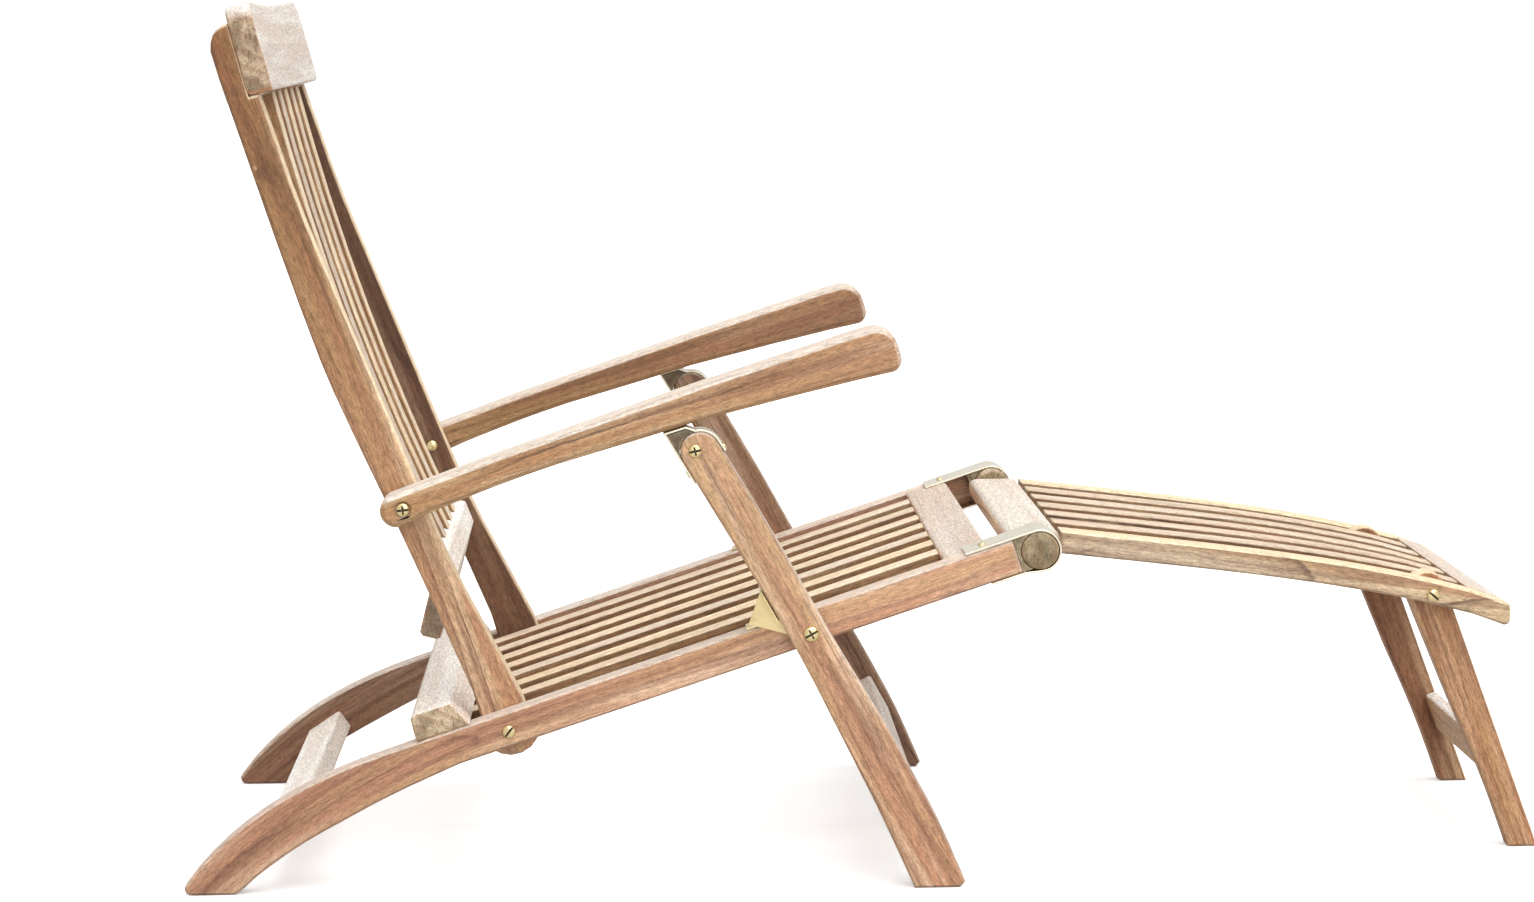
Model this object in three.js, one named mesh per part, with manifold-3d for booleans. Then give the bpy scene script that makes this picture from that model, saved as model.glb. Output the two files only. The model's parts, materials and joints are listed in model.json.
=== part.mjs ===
// A folding steamer deck chair in oiled teak with brass fittings.
// Millimetres, +Z up, +X forward towards the footrest, Y across the chair.
// All side outlines are drawn in the X-Z plane, with X counted from the tip of the rear feet
// and Z from the floor. The finished chair is centred over the origin at the end.
import * as THREE from 'three';
import * as BufferGeometryUtils from 'three/addons/utils/BufferGeometryUtils.js';
import Module from 'manifold-3d';

const wasm = await Module();
wasm.setup();

const degree = Math.PI / 180;

// Clearances
const fitGap = 0.3;            // between fixed neighbours
const legGap = 2.4;            // washer between side rail and front leg
const stileGap = 1;            // between side rail and back stile
const armGap = 3;              // spacer between back stile and arm
const cutOverrun = 2;

// Widths across the chair
const seatHalfWidth = 248;     // to the inner faces of the side rails
const railThickness = 27;
const stileThickness = 26;
const legThickness = 25;
const armWidth = 50;
const plankEdge = 2.5;         // eased edge of the side members
const slatEdge = 2;

// Side rail: a straight upper part that bends down into the rear foot
const railSlope = 18.16 * degree;
const railAbove = 21;          // above the line of the pivots
const railBelow = 16.5;
const backPivotX = 348;
const backPivotZ = 175;
const legPivotAlongRail = 343; // from the back pivot
const hookAlongRail = 606;     // footrest axis, from the back pivot
const railFrontInset = 25;     // behind the footrest axis
const soleLength = 50;
const heelX = 61;
const heelZ = 8;
const toeReach = 4.5;          // the rounded toe, behind the sole
const toeRise = 9;
const upperBendStart = 133;    // along the rail, behind the back pivot
const upperBendLength = 160;   // from there to the corner of the upper curve
const lowerBendStart = 62;

// Boards and slats of the seat
const slatThickness = 18;
const seatSlatCount = 7;
const seatSlatWidth = 29;
const seatSlatSideGap = 45.5;  // from the rail to the outermost slat
const seatSlatRear = 72;       // behind the back pivot
const seatFrontInset = 103;    // slats' front ends, behind the footrest axis
const frontBoardWidth = 51;
const boardThickness = 24;
const boardRound = 4;
const rearBoardBack = 98;      // behind the back pivot
const rearBoardTop = 50;
const rearBoardLip = 37;
const rearBoardThickness = 30;
const rearBoardRake = 4;
const crossRailWidth = 30;
const crossRailDepth = 18;
const rearStretcherX = 106.5;
const rearStretcherZ = 67.5;
const rearStretcherWidth = 48;
const rearStretcherDepth = 26;
const rearStretcherTilt = 34 * degree;

// Back: two hollowed stiles, headrest, lower board and slats
const stileRunX = 288;         // from the back pivot up to the top of the stile
const stileRunZ = 760;
const stileDepth = 34;
const stileFootLength = 33;
const stileFootStart = 230 * degree;
const stileFootEnd = 335 * degree;
const headrestHeight = 98;
const headrestThickness = 28;
const headrestLetIn = 11;      // into the stiles' fronts
const headrestTurn = 5.95 * degree;  // more upright than the stile
const headrestBelowTop = 33.7; // middle of the headrest, below the stile's top
const headrestAhead = 14.5;    // and ahead of the stile's line
const headrestHollow = 5;
const headrestCrownDip = 4;
const headrestCorner = 22;
const lowerBoardAlong = 191;
const lowerBoardWidth = 92;
const lowerBoardThickness = 24;
const lowerBoardChin = 26;
const lowerBoardTurn = 35.35 * degree;  // from the stile's line, towards the sitter
const backSlatCount = 5;
const backSlatWidth = 29;
const backSlatSideGap = 78.5;  // from the stile to the outermost slat
const backSlatThickness = 13;
const backSlatBow = 12.5;
const backSlatDish = 1.5;      // the middle slat's bow, beyond the outer ones'
const backSlatTopInset = 1;
const backSlatFootInset = 8;

// Arms
const armPivotAlong = 268.9;   // up the stile's line, from the back pivot
const armPivotBehind = 12.5;   // and behind it
const armLength = 554;         // from the arm pivot to the tip
const armAboveLeg = 32.9;      // the arm's line above the leg's top
const armEndRadius = 17.5;
const armEndBehind = 7.8;      // middle of the rounded end, behind the arm pivot
const armFrontDepth = 50;
const armNoseRound = 24;
const armChinRound = 14;
const armRestDrop = 4.3;       // underside below the arm's line, over the leg
const armRestBehind = 52;      // flat part of the underside, from the leg's top
const armRestAhead = 16;

// Front legs
const legTopBehind = 122.5;    // from the leg pivot
const legTopAbove = 199.4;
const legFootAhead = 138;
const legDepth = 41;
const legCapRadius = 21.5;
const legCapDrop = 3.5;
const legCapForward = 4.5;
const legSoleRear = 27;        // behind the foot's middle
const legSoleFront = 22;
const legToe = 6;
const legStretcherWidth = 51;
const legStretcherThickness = 20;
const legStretcherZ = 84.5;
const legStretcherInset = 15;

// Footrest
const footrestLength = 535;    // axis to tip
const footrestRise = 14.6;     // top surface above the axis
const footrestSlope = 0.118;
const footrestDroop = 28.5;
const footrestDroopPower = 4;
const footrestRailThickness = 30;
const footrestRailDepth = 26;
const footrestSideInset = 42;  // from the side rail's inner face
const footrestSlatCount = 5;
const footrestSlatWidth = 29;
const footrestSlatSideGap = 35.5;
const footrestSlatDepth = 16;
const pivotBoardWidth = 60;
const pivotBoardThickness = 24.5;
const pivotBoardRound = 9;
const endBoardWidth = 43;
const footrestTipRound = 7;
const endBoardDepth = 20;
const dowelSides = 24;
const footLegThickness = 24;
const footLegGap = 2;
const footLegPivotInset = 88;  // behind the footrest's tip
const footLegPivotDrop = 16;     // below the footrest's top surface there
const footLegAhead = 110;
const footLegTopRadius = 22;
const footLegSoleRear = 11;
const footLegSoleFront = 22.5;
const footStretcherWidth = 48;
const footStretcherThickness = 16;
const footStretcherZ = 83;
const footStretcherInset = 29;

// Brass fittings
const boltRadius = 4;
const boltHeadRadius = 7.3;
const legBoltHeadRadius = 8.4;
const boltHeadHeight = 3.6;
const boltSegments = 14;
const nutRadius = 6.5;
const nutHeight = 3.2;
const strapThickness = 2.2;
const hookWidth = 47;
const hookTopLength = 78;      // of the straight parts, behind the footrest axis
const hookUnderLength = 61;
const hookWrap = 12 * degree;  // how far the loop turns past its lowest point
const toothRear = 27;          // behind the leg's top, along the arm
const toothFront = 2;
const catchRearDrop = 28;      // ends of the catch strap, below the leg's cap
const catchFrontDrop = 12;
const catchWidth = 24;
const catchFlare = 1.2;        // how far the leg's edges spread below its cap
const catchStart = 9 * degree; // where the strap leaves the cap's curve
const stopBehindLeg = 65;      // rear edge of the bracket's base, behind the leg pivot
const stopHeight = 40;
const stopClearance = 1;       // between bracket and leg, for the leg's bow
const stopSideInset = 3;
const stopWingRear = 4;        // rear corner of the side wing, ahead of the base's rear edge
const stopWingRise = 6;        // and above the rail's top
const stopWingDrop = 22;       // the wing's lowest corner, below the rail's top
const stopWingLap = 4;         // how far it reaches behind the leg

const point = (x, z) => new THREE.Vector2(x, z);

// A line's own frame: along it, and to its left
function lineFrame(origin, direction) {
  const unit = direction.clone().normalize();
  return (along, left) => point(
    origin.x + along * unit.x - left * unit.y,
    origin.y + along * unit.y + left * unit.x,
  );
}

const backPivot = point(backPivotX, backPivotZ);
const railDirection = point(Math.cos(railSlope), Math.sin(railSlope));
const railNormal = point(-railDirection.y, railDirection.x);
const onRail = lineFrame(backPivot, railDirection);
const legPivot = onRail(legPivotAlongRail, 0);
const hookAxis = onRail(hookAlongRail, 0);
const seatSlatFront = hookAlongRail - seatFrontInset;

const legTop = point(legPivot.x - legTopBehind, legPivot.y + legTopAbove);
const legFoot = point(legPivot.x + legFootAhead, 0);
const legLength = legTop.distanceTo(legFoot);
const onLeg = lineFrame(legTop, legFoot.clone().sub(legTop));

const stileTop = point(backPivotX - stileRunX, backPivotZ + stileRunZ);
const stileLength = backPivot.distanceTo(stileTop);
const stileDirection = stileTop.clone().sub(backPivot).normalize();
const onStile = lineFrame(backPivot, stileDirection);
const stileBareLength = stileLength - headrestBelowTop - headrestHeight / 2;

const armPivot = onStile(armPivotAlong, armPivotBehind);
const armToLeg = legTop.clone().sub(armPivot);
const armSlope = armToLeg.angle() + Math.asin(armAboveLeg / armToLeg.length());
const legAlongArm = Math.sqrt(armToLeg.lengthSq() - armAboveLeg ** 2);
const onArm = lineFrame(armPivot, point(Math.cos(armSlope), Math.sin(armSlope)));

// The footrest's top surface falls gently and droops towards the tip
const footrestTop = (x) => point(hookAxis.x + x, hookAxis.y + footrestRise - footrestSlope * x
  - footrestDroop * (x / footrestLength) ** footrestDroopPower);
const footLegPivot = footrestTop(footrestLength - footLegPivotInset);
footLegPivot.y -= footLegPivotDrop;
const footLegFoot = point(footLegPivot.x + footLegAhead, 0);
const footLegLength = footLegPivot.distanceTo(footLegFoot);
const onFootLeg = lineFrame(footLegPivot, footLegFoot.clone().sub(footLegPivot));

const railCentreY = seatHalfWidth + railThickness / 2;
const railOuterY = seatHalfWidth + railThickness;
const legInnerY = railOuterY + legGap;
const legCentreY = legInnerY + legThickness / 2;
const legOuterY = legInnerY + legThickness;
const stileOuterY = seatHalfWidth - stileGap;
const stileCentreY = stileOuterY - stileThickness / 2;
const stileInnerY = stileOuterY - stileThickness;
const armCentreY = stileOuterY + armGap + armWidth / 2;
const armOuterY = stileOuterY + armGap + armWidth;
const headrestHalfWidth = seatHalfWidth;
const footrestHalfWidth = seatHalfWidth - footrestSideInset;
const footRailInnerY = footrestHalfWidth - footrestRailThickness;
const footRailCentreY = footrestHalfWidth - footrestRailThickness / 2;
const footLegCentreY = footRailInnerY - footLegGap - footLegThickness / 2;
const footLegInnerY = footRailInnerY - footLegGap - footLegThickness;

const leftRight = [['left', 1], ['right', -1]];

// Materials
const wood = (colour) => new THREE.MeshStandardMaterial({ color: colour, roughness: 0.6, metalness: 0 });
const brass = () => new THREE.MeshStandardMaterial({ color: 0xbdb681, roughness: 0.35, metalness: 1 });
const frameWood = () => wood(0xb9966f);
const slatWood = () => wood(0xcdb294);

// Shapes
const curve = (points, steps) => new THREE.SplineCurve(points).getPoints(steps);

function arcPoints(centre, radius, from, to, steps) {
  const points = [];
  for (let i = 0; i <= steps; i += 1) {
    const angle = from + (to - from) * i / steps;
    points.push(point(centre.x + radius * Math.cos(angle), centre.y + radius * Math.sin(angle)));
  }
  return points;
}

function outline(points, holes = []) {
  const shape = new THREE.Shape(THREE.ShapeUtils.isClockWise(points) ? [...points].reverse() : points);
  for (const hole of holes) {
    const ring = new THREE.Path();
    ring.absarc(hole.x, hole.y, boltRadius + fitGap, 0, 2 * Math.PI, true);
    shape.holes.push(ring);
  }
  return shape;
}

// A side outline given its thickness across the chair
function plank(shape, thickness, edge, segments = 6) {
  const geometry = new THREE.ExtrudeGeometry(shape, {
    depth: thickness - 2 * edge,
    bevelEnabled: edge > 0,
    bevelThickness: edge,
    bevelSize: edge,
    bevelOffset: -edge,
    bevelSegments: 1,
    curveSegments: segments,
  });
  geometry.translate(0, 0, edge - thickness / 2);
  geometry.rotateX(Math.PI / 2);
  return geometry;
}

function roundedRectangle(width, height, radius) {
  const shape = new THREE.Shape();
  const x = width / 2 - radius;
  const y = height / 2 - radius;
  shape.absarc(x, y, radius, 0, Math.PI / 2);
  shape.absarc(-x, y, radius, Math.PI / 2, Math.PI);
  shape.absarc(-x, -y, radius, Math.PI, 1.5 * Math.PI);
  shape.absarc(x, -y, radius, 1.5 * Math.PI, 2 * Math.PI);
  return shape;
}

// A strip of one thickness that lies to the right of its line
function band(points, thickness) {
  const offset = points.map((current, i) => {
    const before = points[Math.max(i - 1, 0)];
    const after = points[Math.min(i + 1, points.length - 1)];
    const a = current.clone().sub(before).normalize();
    const b = after.clone().sub(current).normalize();
    const along = a.clone().add(b).normalize();
    const normal = point(along.y, -along.x);
    const straight = i === 0 ? b : a;
    const lengthen = 1 / normal.dot(point(straight.y, -straight.x));
    return current.clone().addScaledVector(normal, thickness * lengthen);
  });
  return new THREE.Shape([...points, ...offset.reverse()]);
}

function toSolid(geometry) {
  const bare = geometry.clone();
  bare.deleteAttribute('normal');
  bare.deleteAttribute('uv');
  const merged = BufferGeometryUtils.mergeVertices(bare);
  return new wasm.Manifold(new wasm.Mesh({
    numProp: 3,
    vertProperties: new Float32Array(merged.attributes.position.array),
    triVerts: new Uint32Array(merged.index.array),
  }));
}

function toGeometry(solid) {
  const mesh = solid.getMesh();
  const geometry = new THREE.BufferGeometry();
  geometry.setAttribute('position', new THREE.BufferAttribute(mesh.vertProperties, 3));
  geometry.setIndex(new THREE.BufferAttribute(mesh.triVerts, 1));
  geometry.computeVertexNormals();
  return geometry;
}

const joined = (first, second) => toGeometry(toSolid(first).add(toSolid(second)));

function piece(name, geometry, material, y = 0) {
  const mesh = new THREE.Mesh(geometry, material);
  mesh.name = name;
  mesh.position.y = y;
  return mesh;
}

// A board across the chair, placed by the middle of its section
function board(name, section, middle, tilt, length, material) {
  const mesh = piece(name, plank(section, length, slatEdge, 2), material);
  mesh.position.set(middle.x, 0, middle.y);
  mesh.rotation.y = -tilt;
  return mesh;
}

// Turned shapes of bolt heads and domed nuts, as shares of their radius and height
const boltHeadShares = [[1, 0], [1, 0.35], [0.65, 0.85], [0, 1]];
const nutShares = [[0, 1], [0.6, 0.8], [1, 0.3], [1, 0]];

// A round-headed bolt across the chair, from under its head to its inner end
function bolt(name, middle, side, headY, endY, hasNut, headRadius = boltHeadRadius) {
  const outer = headY + fitGap;
  const inner = endY - fitGap;
  const end = hasNut
    ? [...nutShares.map(([r, y]) => point(r * nutRadius, inner - y * nutHeight)), point(boltRadius, inner)]
    : [point(0, endY), point(boltRadius, endY)];
  const head = boltHeadShares.map(([r, y]) => point(r * headRadius, outer + y * boltHeadHeight));
  const geometry = new THREE.LatheGeometry([...end, point(boltRadius, outer), ...head], boltSegments);
  const mesh = piece(name, geometry, brass());
  mesh.position.set(middle.x, 0, middle.y);
  mesh.rotation.x = side > 0 ? 0 : Math.PI;
  return mesh;
}

// Side rails: the underside of the bend as shares of the back pivot's place
const railHeelShares = [[0.23, 0.14], [0.35, 0.306], [0.505, 0.478], [0.662, 0.638]];

function railPoints() {
  const upperStart = onRail(-upperBendStart, railAbove);
  const upperCorner = onRail(-upperBendStart - upperBendLength, railAbove);
  const tip = point(-toeReach, toeRise);
  const bend = new THREE.QuadraticBezierCurve(upperStart, upperCorner, tip);
  const toe = new THREE.QuadraticBezierCurve(tip, point(-toeReach, 0), point(toeReach, 0));
  const heel = railHeelShares.map(([x, z]) => point(x * backPivotX, z * backPivotZ));
  return [
    onRail(hookAlongRail - railFrontInset, -railBelow),
    onRail(hookAlongRail - railFrontInset, railAbove),
    ...bend.getPoints(10),
    ...toe.getPoints(4).slice(1),
    point(soleLength, 0),
    ...curve([point(heelX, heelZ), ...heel, onRail(-lowerBendStart, -railBelow)], 12),
  ];
}

function sideRail(name, side) {
  return piece(name, plank(outline(railPoints(), [backPivot, legPivot]), railThickness, plankEdge),
    frameWood(), side * railCentreY);
}

// Middle of one of several equal slats, spread evenly between two sides
function slatY(index, count, halfWidth, sideGap, width) {
  const outermost = halfWidth - sideGap - width / 2;
  return outermost * (2 * index / (count - 1) - 1);
}

// Seat boards and slats
function seatSlat(index) {
  const length = seatSlatFront + seatSlatRear - fitGap;
  const middle = onRail((seatSlatFront - fitGap - seatSlatRear) / 2, railAbove - slatThickness / 2);
  const section = roundedRectangle(seatSlatWidth, slatThickness, slatEdge);
  const geometry = new THREE.ExtrudeGeometry(section, { depth: length, bevelEnabled: false, curveSegments: 2 });
  geometry.translate(0, 0, -length / 2);
  geometry.rotateX(Math.PI / 2);
  geometry.rotateZ(Math.PI / 2);
  const mesh = piece(`seat_slat_${index + 1}`, geometry, slatWood());
  const y = slatY(index, seatSlatCount, seatHalfWidth, seatSlatSideGap, seatSlatWidth);
  mesh.position.set(middle.x, y, middle.y);
  mesh.rotation.y = -railSlope;
  return mesh;
}

function seatFrontBoard() {
  const middle = onRail(seatSlatFront + frontBoardWidth / 2, railAbove - boardThickness / 2);
  return board('seat_front_board', roundedRectangle(frontBoardWidth, boardThickness, boardRound),
    middle, railSlope, 2 * (seatHalfWidth - fitGap), slatWood());
}

function seatRearBoard() {
  const bottom = railAbove + fitGap;
  const top = bottom + rearBoardThickness;
  const points = [
    onRail(-rearBoardBack, bottom),
    onRail(-rearBoardLip, bottom),
    onRail(-rearBoardLip - rearBoardRake, bottom + rearBoardThickness / 3),
    onRail(-rearBoardTop, top),
    onRail(-rearBoardBack + 2 * rearBoardRake, top),
    onRail(-rearBoardBack + rearBoardRake / 2, top - rearBoardRake),
  ];
  return piece('seat_rear_board', plank(outline(points.reverse()), 2 * railOuterY, slatEdge), slatWood());
}

function seatCrossRail() {
  const underSlats = railAbove - slatThickness - fitGap;
  const middle = onRail(-seatSlatRear + crossRailWidth / 2, underSlats - crossRailDepth / 2);
  return board('seat_rear_cross_rail', roundedRectangle(crossRailWidth, crossRailDepth, boardRound),
    middle, railSlope, 2 * (seatHalfWidth - fitGap), frameWood());
}

function rearStretcher() {
  return board('rear_stretcher', roundedRectangle(rearStretcherWidth, rearStretcherDepth, boardRound),
    point(rearStretcherX, rearStretcherZ), rearStretcherTilt, 2 * (seatHalfWidth - fitGap), frameWood());
}

// The brass loop at each rail's front end, in which the footrest turns
function hookStrap(name, side) {
  const reach = railAbove + fitGap;
  const under = railBelow + fitGap;
  const climb = (reach * Math.cos(hookWrap) - under) / Math.tan(hookWrap);
  const turnEnd = railSlope - Math.PI / 2 - hookWrap;
  const turn = arcPoints(hookAxis, reach, railSlope + Math.PI / 2, turnEnd, 18);
  const path = [
    onRail(hookAlongRail - hookUnderLength, -under),
    onRail(hookAlongRail - reach * Math.sin(hookWrap) - climb, -under),
    ...turn.reverse(),
    onRail(hookAlongRail - hookTopLength, reach),
  ];
  return piece(name, plank(band(path, strapThickness), hookWidth, 0), brass(),
    side * (railOuterY - hookWidth / 2));
}

// The brass bracket on each rail that the front leg leans against
const legRearShares = [[0.22, -0.295], [0.45, -0.235], [0.6, -0.3], [0.777, -0.39], [0.867, -0.475]];
const legFrontShares = [[0.92, 0.79], [0.83, 0.85], [0.645, 0.84], [0.45, 0.745], [0.245, 0.73]];
const legEdge = (shares) => shares.map(([along, across]) => onLeg(along * legLength, across * legDepth));

function legOutlinePoints() {
  const capRear = onLeg(legCapDrop, legCapForward - legCapRadius);
  const capFront = onLeg(legCapDrop, legCapForward + legCapRadius);
  const capCentre = onLeg(legCapDrop, legCapForward);
  const capStart = capFront.clone().sub(capCentre).angle();
  const cap = arcPoints(capCentre, legCapRadius, capStart, capStart + Math.PI, 10);
  const rear = curve([capRear, ...legEdge(legRearShares), point(legFoot.x - legSoleRear, 0)], 12);
  const toe = point(legFoot.x + legSoleFront + legToe, legToe);
  const front = curve([toe, ...legEdge(legFrontShares), capFront], 12);
  return { rear, front, cap, toe };
}

const leg = legOutlinePoints();

function frontLeg(name, side) {
  const sole = point(legFoot.x + legSoleFront, 0);
  const points = [...leg.cap, ...leg.rear.slice(1), sole, ...leg.front.slice(0, -1)];
  return piece(name, plank(outline(points, [legPivot, legTop]), legThickness, plankEdge),
    frameWood(), side * legCentreY);
}

// Where the leg's rear edge crosses the rail's top, and its direction there
function legRearAtRail() {
  const edge = leg.rear;
  const height = (p) => p.clone().sub(backPivot).dot(railNormal);
  const level = railAbove + fitGap;
  for (let i = 1; i < edge.length; i += 1) {
    const above = edge[i - 1];
    const below = edge[i];
    if (height(below) < level) {
      const share = (height(above) - level) / (height(above) - height(below));
      return { foot: above.clone().lerp(below, share), up: above.clone().sub(below).normalize() };
    }
  }
  return { foot: edge[0], up: railDirection };
}

function legStop(name, side) {
  const { foot, up } = legRearAtRail();
  const clear = foot.clone().addScaledVector(railDirection, -stopClearance);
  const top = clear.clone().addScaledVector(up, stopHeight);
  const stopRear = legPivotAlongRail - stopBehindLeg;
  const innerY = seatHalfWidth + stopSideInset;
  const bottom = clear.clone().addScaledVector(up, strapThickness / 2);
  const upright = plank(band([top, bottom], strapThickness), legOuterY - innerY, 0);
  upright.translate(0, side * (legOuterY + innerY) / 2, 0);
  const rear = onRail(stopRear, railAbove + fitGap);
  const base = plank(band([clear, rear], strapThickness), railOuterY - innerY, 0);
  base.translate(0, side * (railOuterY + innerY) / 2, 0);
  const lap = railDirection.clone().multiplyScalar(stopWingLap);
  const wing = plank(outline([
    onRail(stopRear + stopWingRear, railAbove + stopWingRise),
    clear.clone().addScaledVector(up, -stopWingDrop).add(lap),
    clear.clone().add(lap),
    top.clone().addScaledVector(up, -strapThickness).addScaledVector(railDirection, -strapThickness / 2),
  ]), legGap - 2 * fitGap, 0);
  wing.translate(0, side * (railOuterY + legGap / 2), 0);
  return piece(name, joined(joined(upright, base), wing), brass());
}

function seat() {
  const group = new THREE.Group();
  for (const [label, side] of leftRight) {
    group.add(sideRail(`side_rail_${label}`, side));
    group.add(hookStrap(`hook_strap_${label}`, side));
    group.add(legStop(`leg_stop_${label}`, side));
    group.add(bolt(`leg_pivot_bolt_${label}`, legPivot, side, legOuterY, seatHalfWidth + stileGap, false,
      legBoltHeadRadius));
  }
  group.add(rearStretcher(), seatRearBoard(), seatCrossRail(), seatFrontBoard());
  for (let i = 0; i < seatSlatCount; i += 1) group.add(seatSlat(i));
  return group;
}

// Back
const stileRearShares = [[0.06, 0.69], [0.2, 0.8], [0.33, 0.95], [0.47, 1.15], [0.56, 1.19], [0.72, 1.05],
  [0.86, 0.87], [0.962, 0.74], [0.985, 0.56], [0.996, 0.28]];
const stileFrontShares = [[0.037, -0.71], [0.167, -0.4], [0.278, -0.19], [0.5, -0.12], [0.8, -0.03],
  [0.9, -0.1], [0.99, -0.18]];
const stileTopShare = 0.317;   // of the headrest's height, above its middle
const stileEdge = (shares, length) => shares.map(([along, behind]) => (
  onStile(along * length, behind * stileDepth)));

const headrestMiddle = onStile(stileLength - headrestBelowTop, -headrestAhead);
const headrestUp = stileDirection.clone().rotateAround(point(0, 0), -headrestTurn);
const onHeadrest = lineFrame(headrestMiddle, headrestUp);

function stile(name, side) {
  const rebate = headrestThickness / 2 + fitGap;
  const foot = arcPoints(backPivot, stileFootLength, stileFootStart, stileFootEnd, 5);
  const front = curve(stileEdge(stileFrontShares, stileBareLength), 12);
  const under = -headrestHeight / 2 - fitGap;
  const top = onHeadrest(stileTopShare * headrestHeight, rebate);
  const rear = curve([...stileEdge(stileRearShares, stileLength), top], 18).reverse();
  const points = [
    ...foot,
    ...front,
    onHeadrest(under, headrestThickness / 2 - headrestLetIn),
    onHeadrest(under, rebate),
    ...rear,
  ];
  return piece(name, plank(outline(points, [backPivot, armPivot]), stileThickness, plankEdge),
    frameWood(), side * stileCentreY);
}

// The headrest board: hollowed across its front, its top edge dipping a little in the middle
function headrest() {
  const halfT = headrestThickness / 2;
  const halfH = headrestHeight / 2;
  const halfW = headrestHalfWidth;
  const plan = new THREE.Shape();
  plan.moveTo(-halfW + boardRound, halfT);
  plan.lineTo(-halfW, halfT - boardRound);
  plan.lineTo(-halfW, -halfT + boardRound);
  plan.lineTo(-halfW + boardRound, -halfT);
  plan.quadraticCurveTo(0, -halfT + 2 * headrestHollow, halfW - boardRound, -halfT);
  plan.lineTo(halfW, -halfT + boardRound);
  plan.lineTo(halfW, halfT - boardRound);
  plan.lineTo(halfW - boardRound, halfT);
  const hollow = new THREE.ExtrudeGeometry(new THREE.Shape(plan.getPoints(10).reverse()), {
    depth: headrestHeight, bevelEnabled: false,
  });
  hollow.translate(0, 0, -halfH);
  const face = new THREE.Shape();
  face.moveTo(-halfW, -halfH + boardRound);
  face.lineTo(-halfW + boardRound, -halfH);
  face.lineTo(halfW - boardRound, -halfH);
  face.lineTo(halfW, -halfH + boardRound);
  face.lineTo(halfW, halfH - headrestCorner);
  face.quadraticCurveTo(halfW, halfH, halfW - headrestCorner, halfH);
  face.quadraticCurveTo(0, halfH - 2 * headrestCrownDip, -halfW + headrestCorner, halfH);
  face.quadraticCurveTo(-halfW, halfH, -halfW, halfH - headrestCorner);
  const front = new THREE.ExtrudeGeometry(new THREE.Shape(face.getPoints(8)), {
    depth: headrestThickness + 2 * cutOverrun, bevelEnabled: false,
  });
  front.translate(0, 0, -halfT - cutOverrun);
  front.rotateX(Math.PI / 2);
  const geometry = toGeometry(toSolid(hollow).intersect(toSolid(front)));
  geometry.rotateZ(Math.PI / 2);
  const mesh = piece('headrest', geometry, frameWood());
  mesh.position.set(headrestMiddle.x, 0, headrestMiddle.y);
  mesh.rotation.y = Math.PI / 2 - headrestUp.angle();
  return mesh;
}

// Section of the lower back board: a short face in line with the stiles, then a long one falling back
const lowerBoardFaceTop = onStile(lowerBoardAlong, 0);
const lowerBoardChinPoint = onStile(lowerBoardAlong - lowerBoardChin, 0);
const lowerBoardUp = stileDirection.clone().rotateAround(point(0, 0), -lowerBoardTurn);
const onLowerBoard = lineFrame(lowerBoardFaceTop, lowerBoardUp);
const onChin = lineFrame(lowerBoardChinPoint, lowerBoardUp);

function lowerBackBoard() {
  const long = lowerBoardWidth - lowerBoardChin;
  const points = [
    onLowerBoard(0, 0),
    onLowerBoard(0, lowerBoardThickness - boardRound),
    onChin(0, lowerBoardThickness),
    onChin(boardRound - long, lowerBoardThickness),
    onChin(-long, lowerBoardThickness - boardRound),
    onChin(-long, boardRound),
    onChin(boardRound - long, 0),
    onChin(0, 0),
  ];
  return piece('lower_back_board', plank(outline(points), 2 * (stileInnerY - fitGap), slatEdge), slatWood());
}

function backSlat(index) {
  const under = -headrestHeight / 2 - fitGap;
  const topRear = onHeadrest(under, headrestThickness / 2 - backSlatTopInset);
  const top = onHeadrest(under, headrestThickness / 2 - backSlatTopInset - backSlatThickness);
  const bottom = onLowerBoard(fitGap, backSlatFootInset);
  const bottomRear = onLowerBoard(fitGap, backSlatFootInset + backSlatThickness);
  const y = slatY(index, backSlatCount, stileInnerY, backSlatSideGap, backSlatWidth);
  const outermostY = slatY(backSlatCount - 1, backSlatCount, stileInnerY, backSlatSideGap, backSlatWidth);
  const bow = backSlatBow + backSlatDish * (1 - (y / outermostY) ** 2);
  const middle = (a, b) => {
    const chord = b.clone().sub(a).normalize();
    return a.clone().lerp(b, 0.5).add(point(-chord.y, chord.x).multiplyScalar(2 * bow));
  };
  const front = new THREE.QuadraticBezierCurve(bottom, middle(bottom, top), top).getPoints(8);
  const rear = new THREE.QuadraticBezierCurve(bottomRear, middle(bottomRear, topRear), topRear).getPoints(8);
  return piece(`back_slat_${index + 1}`, plank(outline([...front, ...rear.reverse()]), backSlatWidth, slatEdge),
    slatWood(), y);
}

function back() {
  const group = new THREE.Group();
  for (const [label, side] of leftRight) {
    group.add(stile(`back_stile_${label}`, side));
    group.add(bolt(`back_pivot_bolt_${label}`, backPivot, side, railOuterY, stileInnerY, true));
  }
  group.add(headrest(), lowerBackBoard());
  for (let i = 0; i < backSlatCount; i += 1) group.add(backSlat(i));
  return group;
}

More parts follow.
